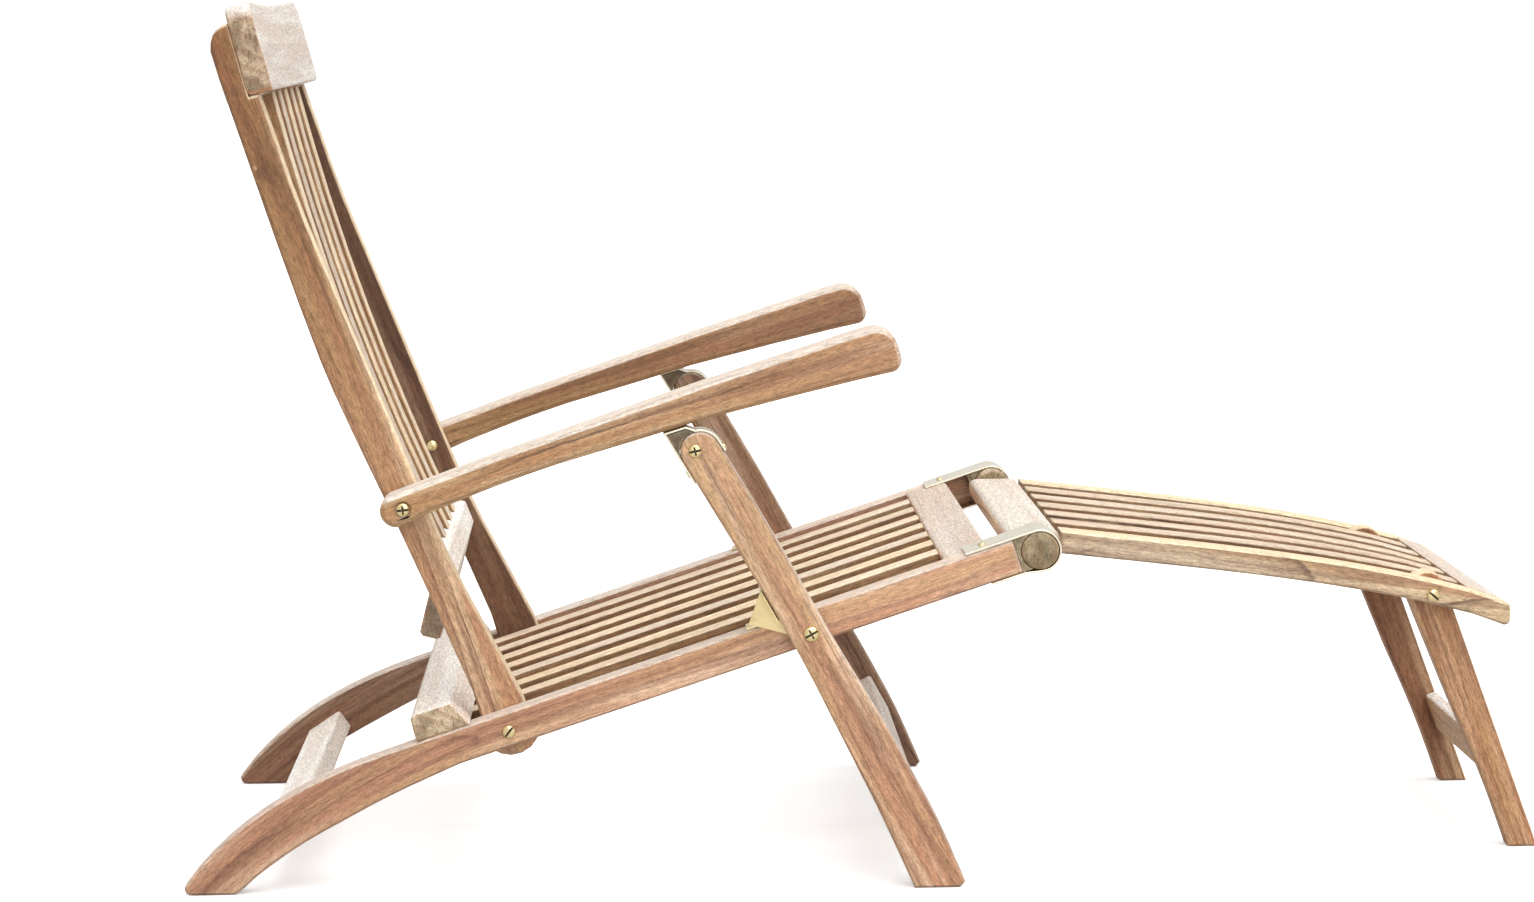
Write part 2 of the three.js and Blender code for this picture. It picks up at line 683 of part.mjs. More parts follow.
// Arms: shares of the length to the leg, of the length beyond it and of the front depth
const armTopShares = [[0.09, 0.41], [0.21, 0.49], [0.41, 0.57], [0.62, 0.645], [0.82, 0.69], [0.92, 0.705]];
const armUnderRearShares = [[0.148, -0.22], [0.4, -0.12], [0.655, -0.07]];
const armUnderFrontShares = [[0.183, -0.13], [0.48, -0.19], [0.777, -0.27]];
const armTipAboveShare = 0.7;
const armTipBelowShare = 0.33;
const armTipTurn = 84 * degree;
const armEndTop = 101 * degree;  // where the rounded end starts and ends
const armEndUnder = 256 * degree;
const armRestStart = legAlongArm - armRestBehind;
const armRestEnd = legAlongArm + armRestAhead;

// Points above the arm's line, between two places along it
const armEdge = (shares, from, to) => shares.map(([along, above]) => (
  onArm(from + along * (to - from), above * armFrontDepth)));

function arm(name, side) {
  const end = arcPoints(onArm(-armEndBehind, 0), armEndRadius, armSlope + armEndTop, armSlope + armEndUnder, 8);
  const nose = onArm(armLength - armNoseRound, armTipAboveShare * armFrontDepth - armNoseRound);
  const chin = onArm(armLength - armChinRound, armChinRound - armTipBelowShare * armFrontDepth);
  const underRear = [...armEdge(armUnderRearShares, 0, armRestStart), onArm(armRestStart, -armRestDrop)];
  const underFront = [onArm(armRestEnd, -armRestDrop), ...armEdge(armUnderFrontShares, armRestEnd, armLength)];
  const points = [
    ...end,
    ...curve(underRear, 6),
    ...curve(underFront, 6),
    ...arcPoints(chin, armChinRound, armSlope - armTipTurn, armSlope, 4),
    ...arcPoints(nose, armNoseRound, armSlope, armSlope + armTipTurn, 6),
    ...curve(armEdge(armTopShares, 0, armLength).reverse(), 10),
  ];
  return piece(name, plank(outline(points, [armPivot]), armWidth, 2 * plankEdge), frameWood(),
    side * armCentreY);
}

function arms() {
  const group = new THREE.Group();
  for (const [label, side] of leftRight) {
    group.add(arm(`arm_${label}`, side));
    group.add(bolt(`arm_bolt_${label}`, armPivot, side, armOuterY, stileInnerY, true));
  }
  return group;
}

// Front legs with their stretcher and the brass catch straps that carry the arms
function catchStrap(name, side) {
  const reach = legCapRadius + fitGap + strapThickness;
  const capCentre = onLeg(legCapDrop, legCapForward);
  const tooth = -armRestDrop - 3 * fitGap;
  const level = legTop.clone().sub(legFoot).angle();
  const over = arcPoints(capCentre, reach, level + catchStart, level - Math.PI / 2, 8);
  const path = [
    onLeg(legCapDrop + catchRearDrop, legCapForward - reach + catchFlare),
    onLeg(legCapDrop, legCapForward - reach),
    onArm(legAlongArm - toothRear, tooth),
    onArm(legAlongArm - toothFront, tooth),
    ...over.slice(2),
    onLeg(legCapDrop + catchFrontDrop, legCapForward + reach + catchFlare),
  ];
  return piece(name, plank(band(path, strapThickness), catchWidth, 0), brass(), side * legCentreY);
}

function legStretcher() {
  const along = (legTop.y - legStretcherZ) / (legTop.y - legFoot.y) * legLength;
  const tilt = legFoot.clone().sub(legTop).angle();
  const middle = onLeg(along, legDepth / 2 - legStretcherInset + legStretcherThickness / 2);
  return board('leg_stretcher', roundedRectangle(legStretcherWidth, legStretcherThickness, boardRound),
    middle, tilt, 2 * (legInnerY - fitGap), frameWood());
}

function frontLegs() {
  const group = new THREE.Group();
  for (const [label, side] of leftRight) {
    group.add(frontLeg(`front_leg_${label}`, side));
    group.add(catchStrap(`catch_strap_${label}`, side));
    group.add(bolt(`catch_bolt_${label}`, legTop, side, legOuterY, legInnerY + legGap / 2, false));
  }
  group.add(legStretcher());
  return group;
}

// Footrest: points on its top surface
function footrestLine(from, to, steps) {
  const points = [];
  for (let i = 0; i <= steps; i += 1) points.push(footrestTop(from + (to - from) * i / steps));
  return points;
}

// A slab of one upright depth below a line, its front corners rounded
function slab(points, depth, round) {
  const last = points[points.length - 1];
  const upper = arcPoints(point(last.x - round, last.y - round), round, Math.PI / 2, 0, 3);
  const lower = arcPoints(point(last.x - round, last.y - depth + round), round, 0, -Math.PI / 2, 3);
  const under = points.slice(0, -1).map((p) => point(p.x, p.y - depth));
  return [...points.slice(0, -1), ...upper, ...lower, ...under.reverse()];
}

const footrestStart = pivotBoardWidth / 2 + fitGap;
const footrestSlatEnd = footrestLength - endBoardWidth - fitGap;

function footrestRail(name, side) {
  const points = slab(footrestLine(footrestStart, footrestLength, 12), footrestRailDepth, footrestTipRound);
  return piece(name, plank(outline(points, [footLegPivot]), footrestRailThickness, plankEdge),
    frameWood(), side * footRailCentreY);
}

function footrestSlat(index) {
  const points = slab(footrestLine(footrestStart, footrestSlatEnd, 10), footrestSlatDepth, 2 * slatEdge);
  const y = slatY(index, footrestSlatCount, footRailInnerY, footrestSlatSideGap, footrestSlatWidth);
  return piece(`footrest_slat_${index + 1}`, plank(outline(points), footrestSlatWidth, slatEdge),
    slatWood(), y);
}

function footrestEndBoard() {
  const line = footrestLine(footrestSlatEnd + fitGap, footrestLength, 3);
  const shape = outline(slab(line, endBoardDepth, footrestTipRound));
  return piece('footrest_end_board', plank(shape, 2 * (footRailInnerY - fitGap), slatEdge), slatWood());
}

function footrestPivotBoard() {
  const middle = point(hookAxis.x, footrestTop(footrestStart).y - pivotBoardThickness / 2);
  return board('footrest_pivot_board', roundedRectangle(pivotBoardWidth, pivotBoardThickness, pivotBoardRound),
    middle, 0, 2 * footrestHalfWidth, slatWood());
}

function footrestDowel(name, side) {
  const radius = railAbove - fitGap;
  const length = railOuterY - footrestHalfWidth - fitGap;
  const ring = arcPoints(hookAxis, radius, 0, 2 * Math.PI, dowelSides).slice(1);
  return piece(name, plank(outline(ring), length, slatEdge), frameWood(),
    side * (footrestHalfWidth + fitGap + length / 2));
}

function footrest() {
  const group = new THREE.Group();
  group.add(footrestPivotBoard(), footrestEndBoard());
  for (const [label, side] of leftRight) {
    group.add(footrestDowel(`footrest_dowel_${label}`, side));
    group.add(footrestRail(`footrest_rail_${label}`, side));
    group.add(bolt(`footrest_leg_bolt_${label}`, footLegPivot, side, footrestHalfWidth, footLegInnerY, true));
  }
  for (let i = 0; i < footrestSlatCount; i += 1) group.add(footrestSlat(i));
  return group;
}

// Footrest legs: points on the rear edge, as shares of the length and of the top's radius
const footLegRearShares = [[0.4, -0.76], [0.6, -0.56], [0.78, -0.46]];

function footrestLeg(name, side) {
  const slope = footLegFoot.clone().sub(footLegPivot).angle();
  const cap = arcPoints(footLegPivot, footLegTopRadius, slope + Math.PI / 2, slope + Math.PI * 1.5, 10);
  const hollow = footLegRearShares.map(([along, across]) => (
    onFootLeg(along * footLegLength, across * footLegTopRadius)));
  const points = [
    ...cap.slice(0, -1),
    ...curve([cap[cap.length - 1], ...hollow, point(footLegFoot.x - footLegSoleRear, 0)], 8),
    point(footLegFoot.x + footLegSoleFront, 0),
  ];
  return piece(name, plank(outline(points, [footLegPivot]), footLegThickness, plankEdge),
    frameWood(), side * footLegCentreY);
}

function footrestStretcher() {
  const along = (footLegPivot.y - footStretcherZ) / footLegPivot.y * footLegLength;
  const slope = footLegFoot.clone().sub(footLegPivot).angle();
  const middle = onFootLeg(along, -footLegTopRadius + footStretcherInset + footStretcherThickness / 2);
  return board('footrest_stretcher', roundedRectangle(footStretcherWidth, footStretcherThickness, boardRound),
    middle, slope, 2 * (footLegInnerY - fitGap), frameWood());
}

function footrestLegs() {
  const group = new THREE.Group();
  for (const [label, side] of leftRight) group.add(footrestLeg(`footrest_leg_${label}`, side));
  group.add(footrestStretcher());
  return group;
}

const chair = new THREE.Group();
chair.add(seat(), back(), arms(), frontLegs(), footrest(), footrestLegs());
const extent = new THREE.Box3().setFromObject(chair);
chair.position.x = -(extent.min.x + extent.max.x) / 2;

export default chair;
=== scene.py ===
import json
import math
import random

import bpy
from mathutils import Matrix, Vector


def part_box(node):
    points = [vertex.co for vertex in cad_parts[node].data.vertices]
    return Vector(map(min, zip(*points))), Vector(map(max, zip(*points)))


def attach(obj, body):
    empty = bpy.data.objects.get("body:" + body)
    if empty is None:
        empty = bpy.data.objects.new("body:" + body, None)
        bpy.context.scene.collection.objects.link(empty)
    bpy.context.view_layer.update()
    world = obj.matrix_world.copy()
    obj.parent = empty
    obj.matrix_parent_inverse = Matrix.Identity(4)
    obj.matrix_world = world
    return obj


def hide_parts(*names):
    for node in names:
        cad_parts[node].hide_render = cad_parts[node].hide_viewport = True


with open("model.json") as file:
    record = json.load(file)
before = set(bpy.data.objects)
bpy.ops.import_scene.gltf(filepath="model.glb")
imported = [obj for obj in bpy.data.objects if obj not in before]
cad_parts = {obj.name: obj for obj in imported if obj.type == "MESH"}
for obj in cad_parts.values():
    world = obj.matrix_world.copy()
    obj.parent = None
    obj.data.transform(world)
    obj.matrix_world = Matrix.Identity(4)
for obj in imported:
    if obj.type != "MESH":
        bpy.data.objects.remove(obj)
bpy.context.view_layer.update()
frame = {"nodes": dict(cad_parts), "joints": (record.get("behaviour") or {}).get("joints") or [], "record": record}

MM = 0.001
SIDES = {"left": 1, "right": -1}
NODES = frame["nodes"]
BODY_OF = {node: body for body, nodes in frame["record"]["behaviour"]["bodies"].items() for node in nodes}
JOINT_AT = {joint["name"]: Vector(joint["pos_m"]) for joint in frame["joints"]}

# Directions of the chair's members in the side view
RAIL_SLOPE = math.radians(18.16)
STILE_SLOPE = math.radians(110.75)
ARM_SLOPE = math.radians(16.8)
LEG_SLOPE = math.radians(-61.6)
FOOTREST_SLOPE = math.radians(-9)
FOOT_LEG_SLOPE = math.radians(-69.6)

# Colours, as light that comes back from each surface
HONEY_TEAK = (0.58, 0.365, 0.19, 1)
ROSY_TEAK = (0.55, 0.30, 0.17, 1)
PALE_TEAK = (0.78, 0.56, 0.36, 1)
BROWN_TEAK = (0.30, 0.155, 0.09, 1)
DARK_LINES = (0.12, 0.06, 0.04, 1)
GREY_END = (0.33, 0.25, 0.165, 1)
PALE_END = (0.60, 0.47, 0.33, 1)
GREY_EDGE = (0.33, 0.29, 0.2, 1)
# Painted shade: the tint laid on faces that look into the chair or down
PAINTED_SHADE_TINT = (0.30, 0.25, 0.24, 1)
BRASS = (0.74, 0.60, 0.32, 1)
PALE_BRASS = (0.80, 0.74, 0.60, 1)
TARNISH = (0.24, 0.175, 0.08, 1)
# Painted shade in the driver slots, with some dirt and rubbed polish
SLOT_SHADE_AND_DIRT = (0.045, 0.035, 0.018, 1)
SLOT_RUB = (0.16, 0.125, 0.055, 1)

# Teak that the sun has faded: the boards' silver rose and the slats' cream, laid on the upper faces by a mask that
# is partly painted light
SILVER_ROSE = (0.62, 0.55, 0.48, 1)
PALE_SILVER = (0.78, 0.74, 0.69, 1)
CREAM = (0.76, 0.62, 0.42, 1)
DULL_CREAM = (0.66, 0.53, 0.38, 1)


# ---- Small helpers for node trees


def put_node(tree, kind, inputs, **settings):
    node = tree.nodes.new(kind)
    for name, value in settings.items():
        setattr(node, name, value)
    for socket, value in inputs.items():
        if isinstance(value, bpy.types.NodeSocket):
            tree.links.new(value, node.inputs[socket])
        else:
            node.inputs[socket].default_value = value
    return node


def calculate(tree, operation, first, second=0.0, third=0.0, clamp=False):
    inputs = {0: first, 1: second, 2: third}
    return put_node(tree, "ShaderNodeMath", inputs, operation=operation, use_clamp=clamp).outputs[0]


def times(tree, first, second, clamp=False):
    return calculate(tree, "MULTIPLY", first, second, clamp=clamp)


def times_plus(tree, first, second, third, clamp=False):
    """first * second + third"""
    return calculate(tree, "MULTIPLY_ADD", first, second, third, clamp)


def vector_calculate(tree, operation, first, second):
    node = put_node(tree, "ShaderNodeVectorMath", {0: first, 1: second}, operation=operation)
    return node.outputs["Value" if operation == "DOT_PRODUCT" else "Vector"]


def mix_colours(tree, share, first, second, blend="MIX"):
    inputs = {0: share, 6: first, 7: second}
    return put_node(tree, "ShaderNodeMix", inputs, data_type="RGBA", blend_type=blend).outputs[2]


def rise(tree, value, low, high):
    """0 below low, 1 above high and smooth between."""
    inputs = {"Value": value, "From Min": low, "From Max": high}
    node = put_node(tree, "ShaderNodeMapRange", inputs, interpolation_type="SMOOTHSTEP")
    return node.outputs["Result"]


def falling(tree, value, low, high):
    """1 below low, 0 above high and smooth between."""
    return calculate(tree, "SUBTRACT", 1.0, rise(tree, value, low, high))


def noise(tree, place, stretch, detail=2.0, roughness=0.5, distortion=0.0):
    """Noise with its own number of features per metre along each axis."""
    stretched = vector_calculate(tree, "MULTIPLY", place, stretch)
    inputs = {"Vector": stretched, "Scale": 1.0, "Detail": detail, "Roughness": roughness,
              "Distortion": distortion}
    return put_node(tree, "ShaderNodeTexNoise", inputs).outputs["Fac"]


def new_material(name):
    """A material; returns it, its tree and its Principled shader."""
    material = bpy.data.materials.new(name)
    material.use_nodes = True
    return material, material.node_tree, material.node_tree.nodes["Principled BSDF"]


def dress(tree, shader, surface, strength, depth):
    """Joins a group's colour, roughness and height to the shader."""
    inputs = {"Height": surface["Height"], "Strength": strength, "Distance": depth}
    bump = put_node(tree, "ShaderNodeBump", inputs)
    tree.links.new(surface["Colour"], shader.inputs["Base Color"])
    tree.links.new(surface["Roughness"], shader.inputs["Roughness"])
    tree.links.new(bump.outputs[0], shader.inputs["Normal"])


def length_of(tree, vector):
    return put_node(tree, "ShaderNodeVectorMath", {0: vector}, operation="LENGTH").outputs["Value"]


def new_group(name, inputs, outputs):
    """A shader node group; returns its tree, its input sockets by name and its output node."""
    tree = bpy.data.node_groups.new(name, "ShaderNodeTree")
    for label, kind in inputs.items():
        tree.interface.new_socket(label, in_out="INPUT", socket_type=kind)
    for label, kind in outputs.items():
        tree.interface.new_socket(label, in_out="OUTPUT", socket_type=kind)
    return tree, tree.nodes.new("NodeGroupInput").outputs, tree.nodes.new("NodeGroupOutput")


def finish_group(tree, output, results):
    for label, socket in results.items():
        tree.links.new(socket, output.inputs[label])
    return tree


# ---- Teak


def teak_grain_group():
    """Oiled teak. Place runs along the grain in X from the board's middle, in metres.

    Seed gives each board its own figure, Pith is the way to the middle of the tree, Tint is how
    dark this board is along its length, partly its own tone and partly painted shade, Faded is its colour in the
    sun, and the other inputs are masks.
    """
    colour, number, vector = "NodeSocketColor", "NodeSocketFloat", "NodeSocketVector"
    tree, given, output = new_group(
        "teak grain",
        {
            "Place": vector, "Seed": vector, "Pith": vector, "Faded And Lit": number, "End": number,
            "Edge": number, "Painted Shade": number, "Redness": number, "Knot": number, "Stain": number,
            "Tint": colour, "Faded": colour,
        },
        {"Colour": colour, "Roughness": number, "Height": number},
    )
    place, knot = given["Place"], given["Knot"]
    own = vector_calculate(tree, "ADD", place, given["Seed"])

    # Growth rings round the pith, which wander along the board and swell round a knot
    away = vector_calculate(tree, "SUBTRACT", place, given["Pith"])
    from_pith = length_of(tree, vector_calculate(tree, "MULTIPLY", away, (0, 1, 1)))
    slow = noise(tree, own, (2.2, 6, 6), 1)
    quick = noise(tree, own, (11, 40, 40), 2, 0.6)
    fray = noise(tree, own, (60, 300, 300), 1)
    wander = times_plus(tree, slow, 6.0, times(tree, quick, 0.3))
    wander = times_plus(tree, fray, 0.1, wander)
    rings = times_plus(tree, from_pith, 75, wander)
    rings = times_plus(tree, knot, 2.6, rings)
    ring = calculate(tree, "FRACT", rings)
    late = times(tree, rise(tree, ring, 0.3, 0.93), falling(tree, ring, 0.95, 1.0))
    line = times(tree, rise(tree, ring, 0.83, 0.93), falling(tree, ring, 0.95, 0.99))
    strength = rise(tree, noise(tree, own, (3, 34, 34), 2), 0.44, 0.66)

    # Broad stripes of colour, and the short dashes of the fine grain
    stripes = rise(tree, noise(tree, own, (2.0, 60, 60), 2, 0.55), 0.38, 0.62)
    glow = rise(tree, noise(tree, own, (3.2, 44, 44), 2, 0.5), 0.45, 0.66)
    dull = rise(tree, noise(tree, own, (2.6, 95, 95), 4, 0.62), 0.46, 0.66)
    streaks = rise(tree, noise(tree, own, (6, 260, 260), 3, 0.6), 0.5, 0.68)
    dashes = noise(tree, place, (90, 520, 520), 2, 0.75)
    speckle = noise(tree, place, (420, 900, 900), 1, 0.6)
    pores = rise(tree, noise(tree, place, (120, 1500, 1500), 1), 0.62, 0.7)

    rosy = calculate(tree, "ADD", stripes, given["Redness"], clamp=True)
    wood = mix_colours(tree, rosy, HONEY_TEAK, ROSY_TEAK)
    wood = mix_colours(tree, times(tree, glow, 0.9), wood, PALE_TEAK)
    wood = mix_colours(tree, times(tree, dull, 0.68), wood, BROWN_TEAK)
    wood = mix_colours(tree, times(tree, streaks, 0.38), wood, BROWN_TEAK)
    late_wood = times(tree, times(tree, late, strength), 0.5)
    wood = mix_colours(tree, late_wood, wood, BROWN_TEAK)
    line = times(tree, times(tree, line, strength), 0.65)
    wood = mix_colours(tree, line, wood, DARK_LINES)
    wood = mix_colours(tree, times(tree, given["Stain"], 0.55), wood, DARK_LINES)
    wood = mix_colours(tree, rise(tree, knot, 0.9, 0.99), wood, PALE_TEAK)
    wood = mix_colours(tree, 1.0, wood, given["Tint"], "MULTIPLY")

    # End grain: greyer, with mottled rings and dark cracks
    cracks = rise(tree, noise(tree, own, (4, 300, 90), 3, 0.6, 1.0), 0.56, 0.64)
    end_wood = mix_colours(tree, rise(tree, quick, 0.4, 0.62), GREY_END, PALE_END)
    end_wood = mix_colours(tree, times(tree, late, 0.45), end_wood, BROWN_TEAK)
    end_wood = mix_colours(tree, times(tree, cracks, 0.55), end_wood, DARK_LINES)
    end_wood = mix_colours(tree, 1.0, end_wood, given["Tint"], "MULTIPLY")
    wood = mix_colours(tree, given["End"], wood, end_wood)

    # Weathering and painted light: grey along the edges, and pale where the sun comes down on the board, which is
    # partly sun fading and partly painted light
    wear = times(tree, given["Edge"], rise(tree, quick, 0.25, 0.6))
    wood = mix_colours(tree, times(tree, wear, 0.55), wood, GREY_EDGE)
    streaked = mix_colours(tree, 1.0, given["Faded"], (0.88, 0.82, 0.78, 1), "MULTIPLY")
    faded = mix_colours(tree, times(tree, stripes, 0.5), given["Faded"], streaked)
    faded = mix_colours(tree, times(tree, line, 0.4), faded, GREY_EDGE)
    # Painted shade on the faces that look into the chair or down
    painted_shade = mix_colours(tree, 1.0, wood, PAINTED_SHADE_TINT, "MULTIPLY")
    wood = mix_colours(tree, given["Painted Shade"], wood, painted_shade)
    faded_and_lit = times(tree, given["Faded And Lit"], times_plus(tree, glow, 0.25, 0.8), clamp=True)
    wood = mix_colours(tree, faded_and_lit, wood, faded)

    grain = times_plus(tree, dashes, 1.7, times_plus(tree, speckle, 0.8, -0.2))
    grain = calculate(tree, "SUBTRACT", grain, times(tree, pores, 0.15))
    tint = put_node(tree, "ShaderNodeCombineColor", {0: grain, 1: grain, 2: grain}).outputs[0]
    wood = mix_colours(tree, 1.0, wood, tint, "MULTIPLY")

    rough = times_plus(tree, dull, 0.12, 0.46)
    rough = times_plus(tree, given["Faded And Lit"], 0.14, rough)
    height = calculate(tree, "SUBTRACT", times(tree, dashes, 0.5), pores)
    height = calculate(tree, "SUBTRACT", height, line)
    return finish_group(tree, output, {"Colour": wood, "Roughness": rough, "Height": height})


TEAK_GRAIN = teak_grain_group()

EDGE_REACH = 7 * MM


def grain_turn(along):
    """Turns a place so that X runs along the grain: an angle in the side view, or across the chair."""
    return (0, 0, -math.pi / 2) if along == "across" else (0, along, 0)


def grain_direction(along):
    return Vector((0, 1, 0)) if along == "across" else Vector((math.cos(along), 0, math.sin(along)))


def worn_edge(tree, normal):
    """A mask of the strip along the edges, where rubbing and rain have greyed the wood."""
    rounded = put_node(tree, "ShaderNodeBevel", {"Radius": EDGE_REACH}, samples=4).outputs[0]
    same = vector_calculate(tree, "DOT_PRODUCT", rounded, normal)
    return falling(tree, same, 0.8, 0.995)


def faded_and_lit_faces(tree, normal):
    """A mask of the faces that look up or towards the sitter: partly where the sun has faded them and partly
    painted light where the light falls on them.
    """
    faces = put_node(tree, "ShaderNodeSeparateXYZ", {0: normal}).outputs
    return calculate(tree, "MAXIMUM", rise(tree, faces["Z"], 0.25, 0.75), rise(tree, faces["X"], 0.5, 0.85))


def painted_shade(tree, normal, inward):
    """A mask of painted shade: the faces that look into the chair, or to both sides where inward is 0, and down.
    """
    faces = put_node(tree, "ShaderNodeSeparateXYZ", {0: normal}).outputs
    if inward:
        sideways = times(tree, faces["Y"], inward)
    else:
        sideways = calculate(tree, "ABSOLUTE", faces["Y"])
    down = times(tree, faces["Z"], -0.8)
    return rise(tree, calculate(tree, "MAXIMUM", sideways, down), 0.4, 0.8)


def bent_place(tree, place, bend):
    """Straightens a curved member's place, so that the figure follows the curve."""
    start, curve = bend
    split = put_node(tree, "ShaderNodeSeparateXYZ", {0: place}).outputs
    past = calculate(tree, "MAXIMUM", calculate(tree, "SUBTRACT", start, split["X"]), 0)
    drop = times(tree, times(tree, past, past), curve)
    lifted = calculate(tree, "ADD", split["Z"], drop)
    return put_node(tree, "ShaderNodeCombineXYZ", {"X": split["X"], "Y": split["Y"], "Z": lifted}).outputs[0]


def knot_swell(tree, place, knot):
    """1 in the middle of a knot and fading round it; the knot's place is in the board's own directions."""
    along, across, radius = knot
    away = vector_calculate(tree, "SUBTRACT", place, (along, 0, across))
    squeezed = vector_calculate(tree, "MULTIPLY", away, (0.7, 0, 1))
    distance = length_of(tree, squeezed)
    ragged = times_plus(tree, noise(tree, place, (160, 200, 200), 3), 0.6 * radius, distance)
    return falling(tree, ragged, 0.3 * radius, 4 * radius)


def teak(name, middle, along, seed, pith, redness, look, inward, bend=None, knot=None):
    """One board's own teak, so that no two boards show the same figure.

    look gives the board's tint at its rear or lower end and at its other end (partly painted shade), its
    length, its faded colour, how far its upper faces have faded and are painted lit, and how dark the
    painted shade on its inward and downward faces is.
    """
    first_tint, last_tint, length, faded, fade_and_light, painted_shade_amount = look
    material, tree, shader = new_material(name)
    coordinates = tree.nodes.new("ShaderNodeTexCoord").outputs
    turn = Matrix.Rotation(grain_turn(along)[2], 3, "Z") @ Matrix.Rotation(grain_turn(along)[1], 3, "Y")
    mapping = {"Vector": coordinates["Object"], "Rotation": grain_turn(along), "Location": -(turn @ middle)}
    place = put_node(tree, "ShaderNodeMapping", mapping).outputs[0]
    if bend:
        place = bent_place(tree, place, bend)
    normal = coordinates["Normal"]
    end = vector_calculate(tree, "DOT_PRODUCT", normal, grain_direction(along))
    lengthwise = put_node(tree, "ShaderNodeSeparateXYZ", {0: place}).outputs["X"]
    masks = {
        "Place": place,
        "Tint": mix_colours(tree, rise(tree, lengthwise, -length / 2, length / 2), first_tint, last_tint),
        "Faded And Lit": times(tree, faded_and_lit_faces(tree, normal), fade_and_light),
        "Painted Shade": times(tree, painted_shade(tree, normal, inward), painted_shade_amount),
        "End": rise(tree, calculate(tree, "ABSOLUTE", end), 0.75, 0.93),
        "Edge": worn_edge(tree, normal),
    }
    if knot:
        masks["Knot"] = knot_swell(tree, place, knot)
        at, up, radius = knot
        masks["Stain"] = knot_swell(tree, place, (at - 2 * radius, up - 2 * radius, 1.3 * radius))
    grain = put_node(tree, "ShaderNodeGroup", {}, node_tree=TEAK_GRAIN)
    for label, socket in masks.items():
        tree.links.new(socket, grain.inputs[label])
    grain.inputs["Seed"].default_value = seed
    grain.inputs["Pith"].default_value = pith
    grain.inputs["Redness"].default_value = redness
    grain.inputs["Faded"].default_value = faded
    dress(tree, shader, grain.outputs, 0.3, 0.5 * MM)
    shader.inputs["Specular IOR Level"].default_value = 0.3
    return material


# ---- Brass


def worn_brass_group():
    """Polished brass with fine rubbing marks and a little tarnish."""
    colour, number, vector = "NodeSocketColor", "NodeSocketFloat", "NodeSocketVector"
    tree, given, output = new_group(
        "worn brass",
        {"Place": vector, "Tarnish": number, "Polish": number, "Metal": colour},
        {"Colour": colour, "Roughness": number, "Height": number},
    )
    place = given["Place"]
    clouds = noise(tree, place, (60, 60, 60), 4, 0.6)
    spots = noise(tree, place, (420, 420, 420), 3, 0.6)
    rubbing = noise(tree, place, (300, 1800, 300), 2, 0.6)
    stained = times(tree, rise(tree, clouds, 0.42, 0.75), given["Tarnish"])
    spotted = times(tree, rise(tree, spots, 0.62, 0.78), 0.45)
    stained = calculate(tree, "MAXIMUM", stained, spotted)
    metal = mix_colours(tree, stained, given["Metal"], TARNISH)
    rough = times_plus(tree, stained, 0.25, calculate(tree, "SUBTRACT", 0.42, given["Polish"]))
    rough = times_plus(tree, rubbing, 0.12, rough)
    return finish_group(tree, output, {"Colour": metal, "Roughness": rough, "Height": rubbing})


WORN_BRASS = worn_brass_group()


def brass(name, tarnish, polish, metal):
    material, tree, shader = new_material(name)
    coordinates = tree.nodes.new("ShaderNodeTexCoord").outputs
    wear = put_node(tree, "ShaderNodeGroup", {}, node_tree=WORN_BRASS)
    tree.links.new(coordinates["Object"], wear.inputs["Place"])
    wear.inputs["Tarnish"].default_value = tarnish
    wear.inputs["Polish"].default_value = polish
    wear.inputs["Metal"].default_value = metal
    dress(tree, shader, wear.outputs, 0.12, 0.1 * MM)
    shader.inputs["Metallic"].default_value = 1.0
    return material


# The leg stops' brass, the paler brass of the hooks and catches, and the bolts'
STRAP_BRASS = brass("strap brass", 0.5, 0.18, BRASS)
LOOP_BRASS = brass("loop brass", 0.25, 0.22, PALE_BRASS)
BOLT_BRASS = brass("bolt brass", 0.3, 0.2, BRASS)


def slot_shade_and_dirt():
    """Painted shade in the bottom of the driver slots, with old polish and dirt."""
    material, tree, shader = new_material("slot shade and dirt")
    place = tree.nodes.new("ShaderNodeTexCoord").outputs["Object"]
    rubbed = rise(tree, noise(tree, place, (500, 500, 500), 3, 0.6), 0.45, 0.7)
    tree.links.new(mix_colours(tree, rubbed, SLOT_SHADE_AND_DIRT, SLOT_RUB), shader.inputs["Base Color"])
    tree.links.new(times_plus(tree, rubbed, -0.3, 0.85), shader.inputs["Roughness"])
    return material


SLOT_BRASS = slot_shade_and_dirt()


# ---- Modelling helpers


def leave_nothing_selected():
    if bpy.context.object and bpy.context.object.mode != "OBJECT":
        bpy.ops.object.mode_set(mode="OBJECT")
    bpy.ops.object.select_all(action="DESELECT")


def select_only(piece):
    leave_nothing_selected()
    piece.select_set(True)
    bpy.context.view_layer.objects.active = piece


def pick_faces(piece, wanted):
    """Goes to edit mode with just the faces that wanted(centre, normal) names."""
    bpy.ops.object.mode_set(mode="EDIT")
    bpy.ops.mesh.select_mode(type="FACE")
    bpy.ops.mesh.select_all(action="DESELECT")
    bpy.ops.object.mode_set(mode="OBJECT")
    for face in piece.data.polygons:
        face.select = wanted(face.center, face.normal)
    bpy.ops.object.mode_set(mode="EDIT")


def step_face(height, scale):
    """Extrudes the picked face along Z and draws it in or out."""
    bpy.ops.mesh.extrude_region_move(TRANSFORM_OT_translate={"value": (0, 0, height)})
    bpy.ops.transform.resize(value=(scale, scale, 1))


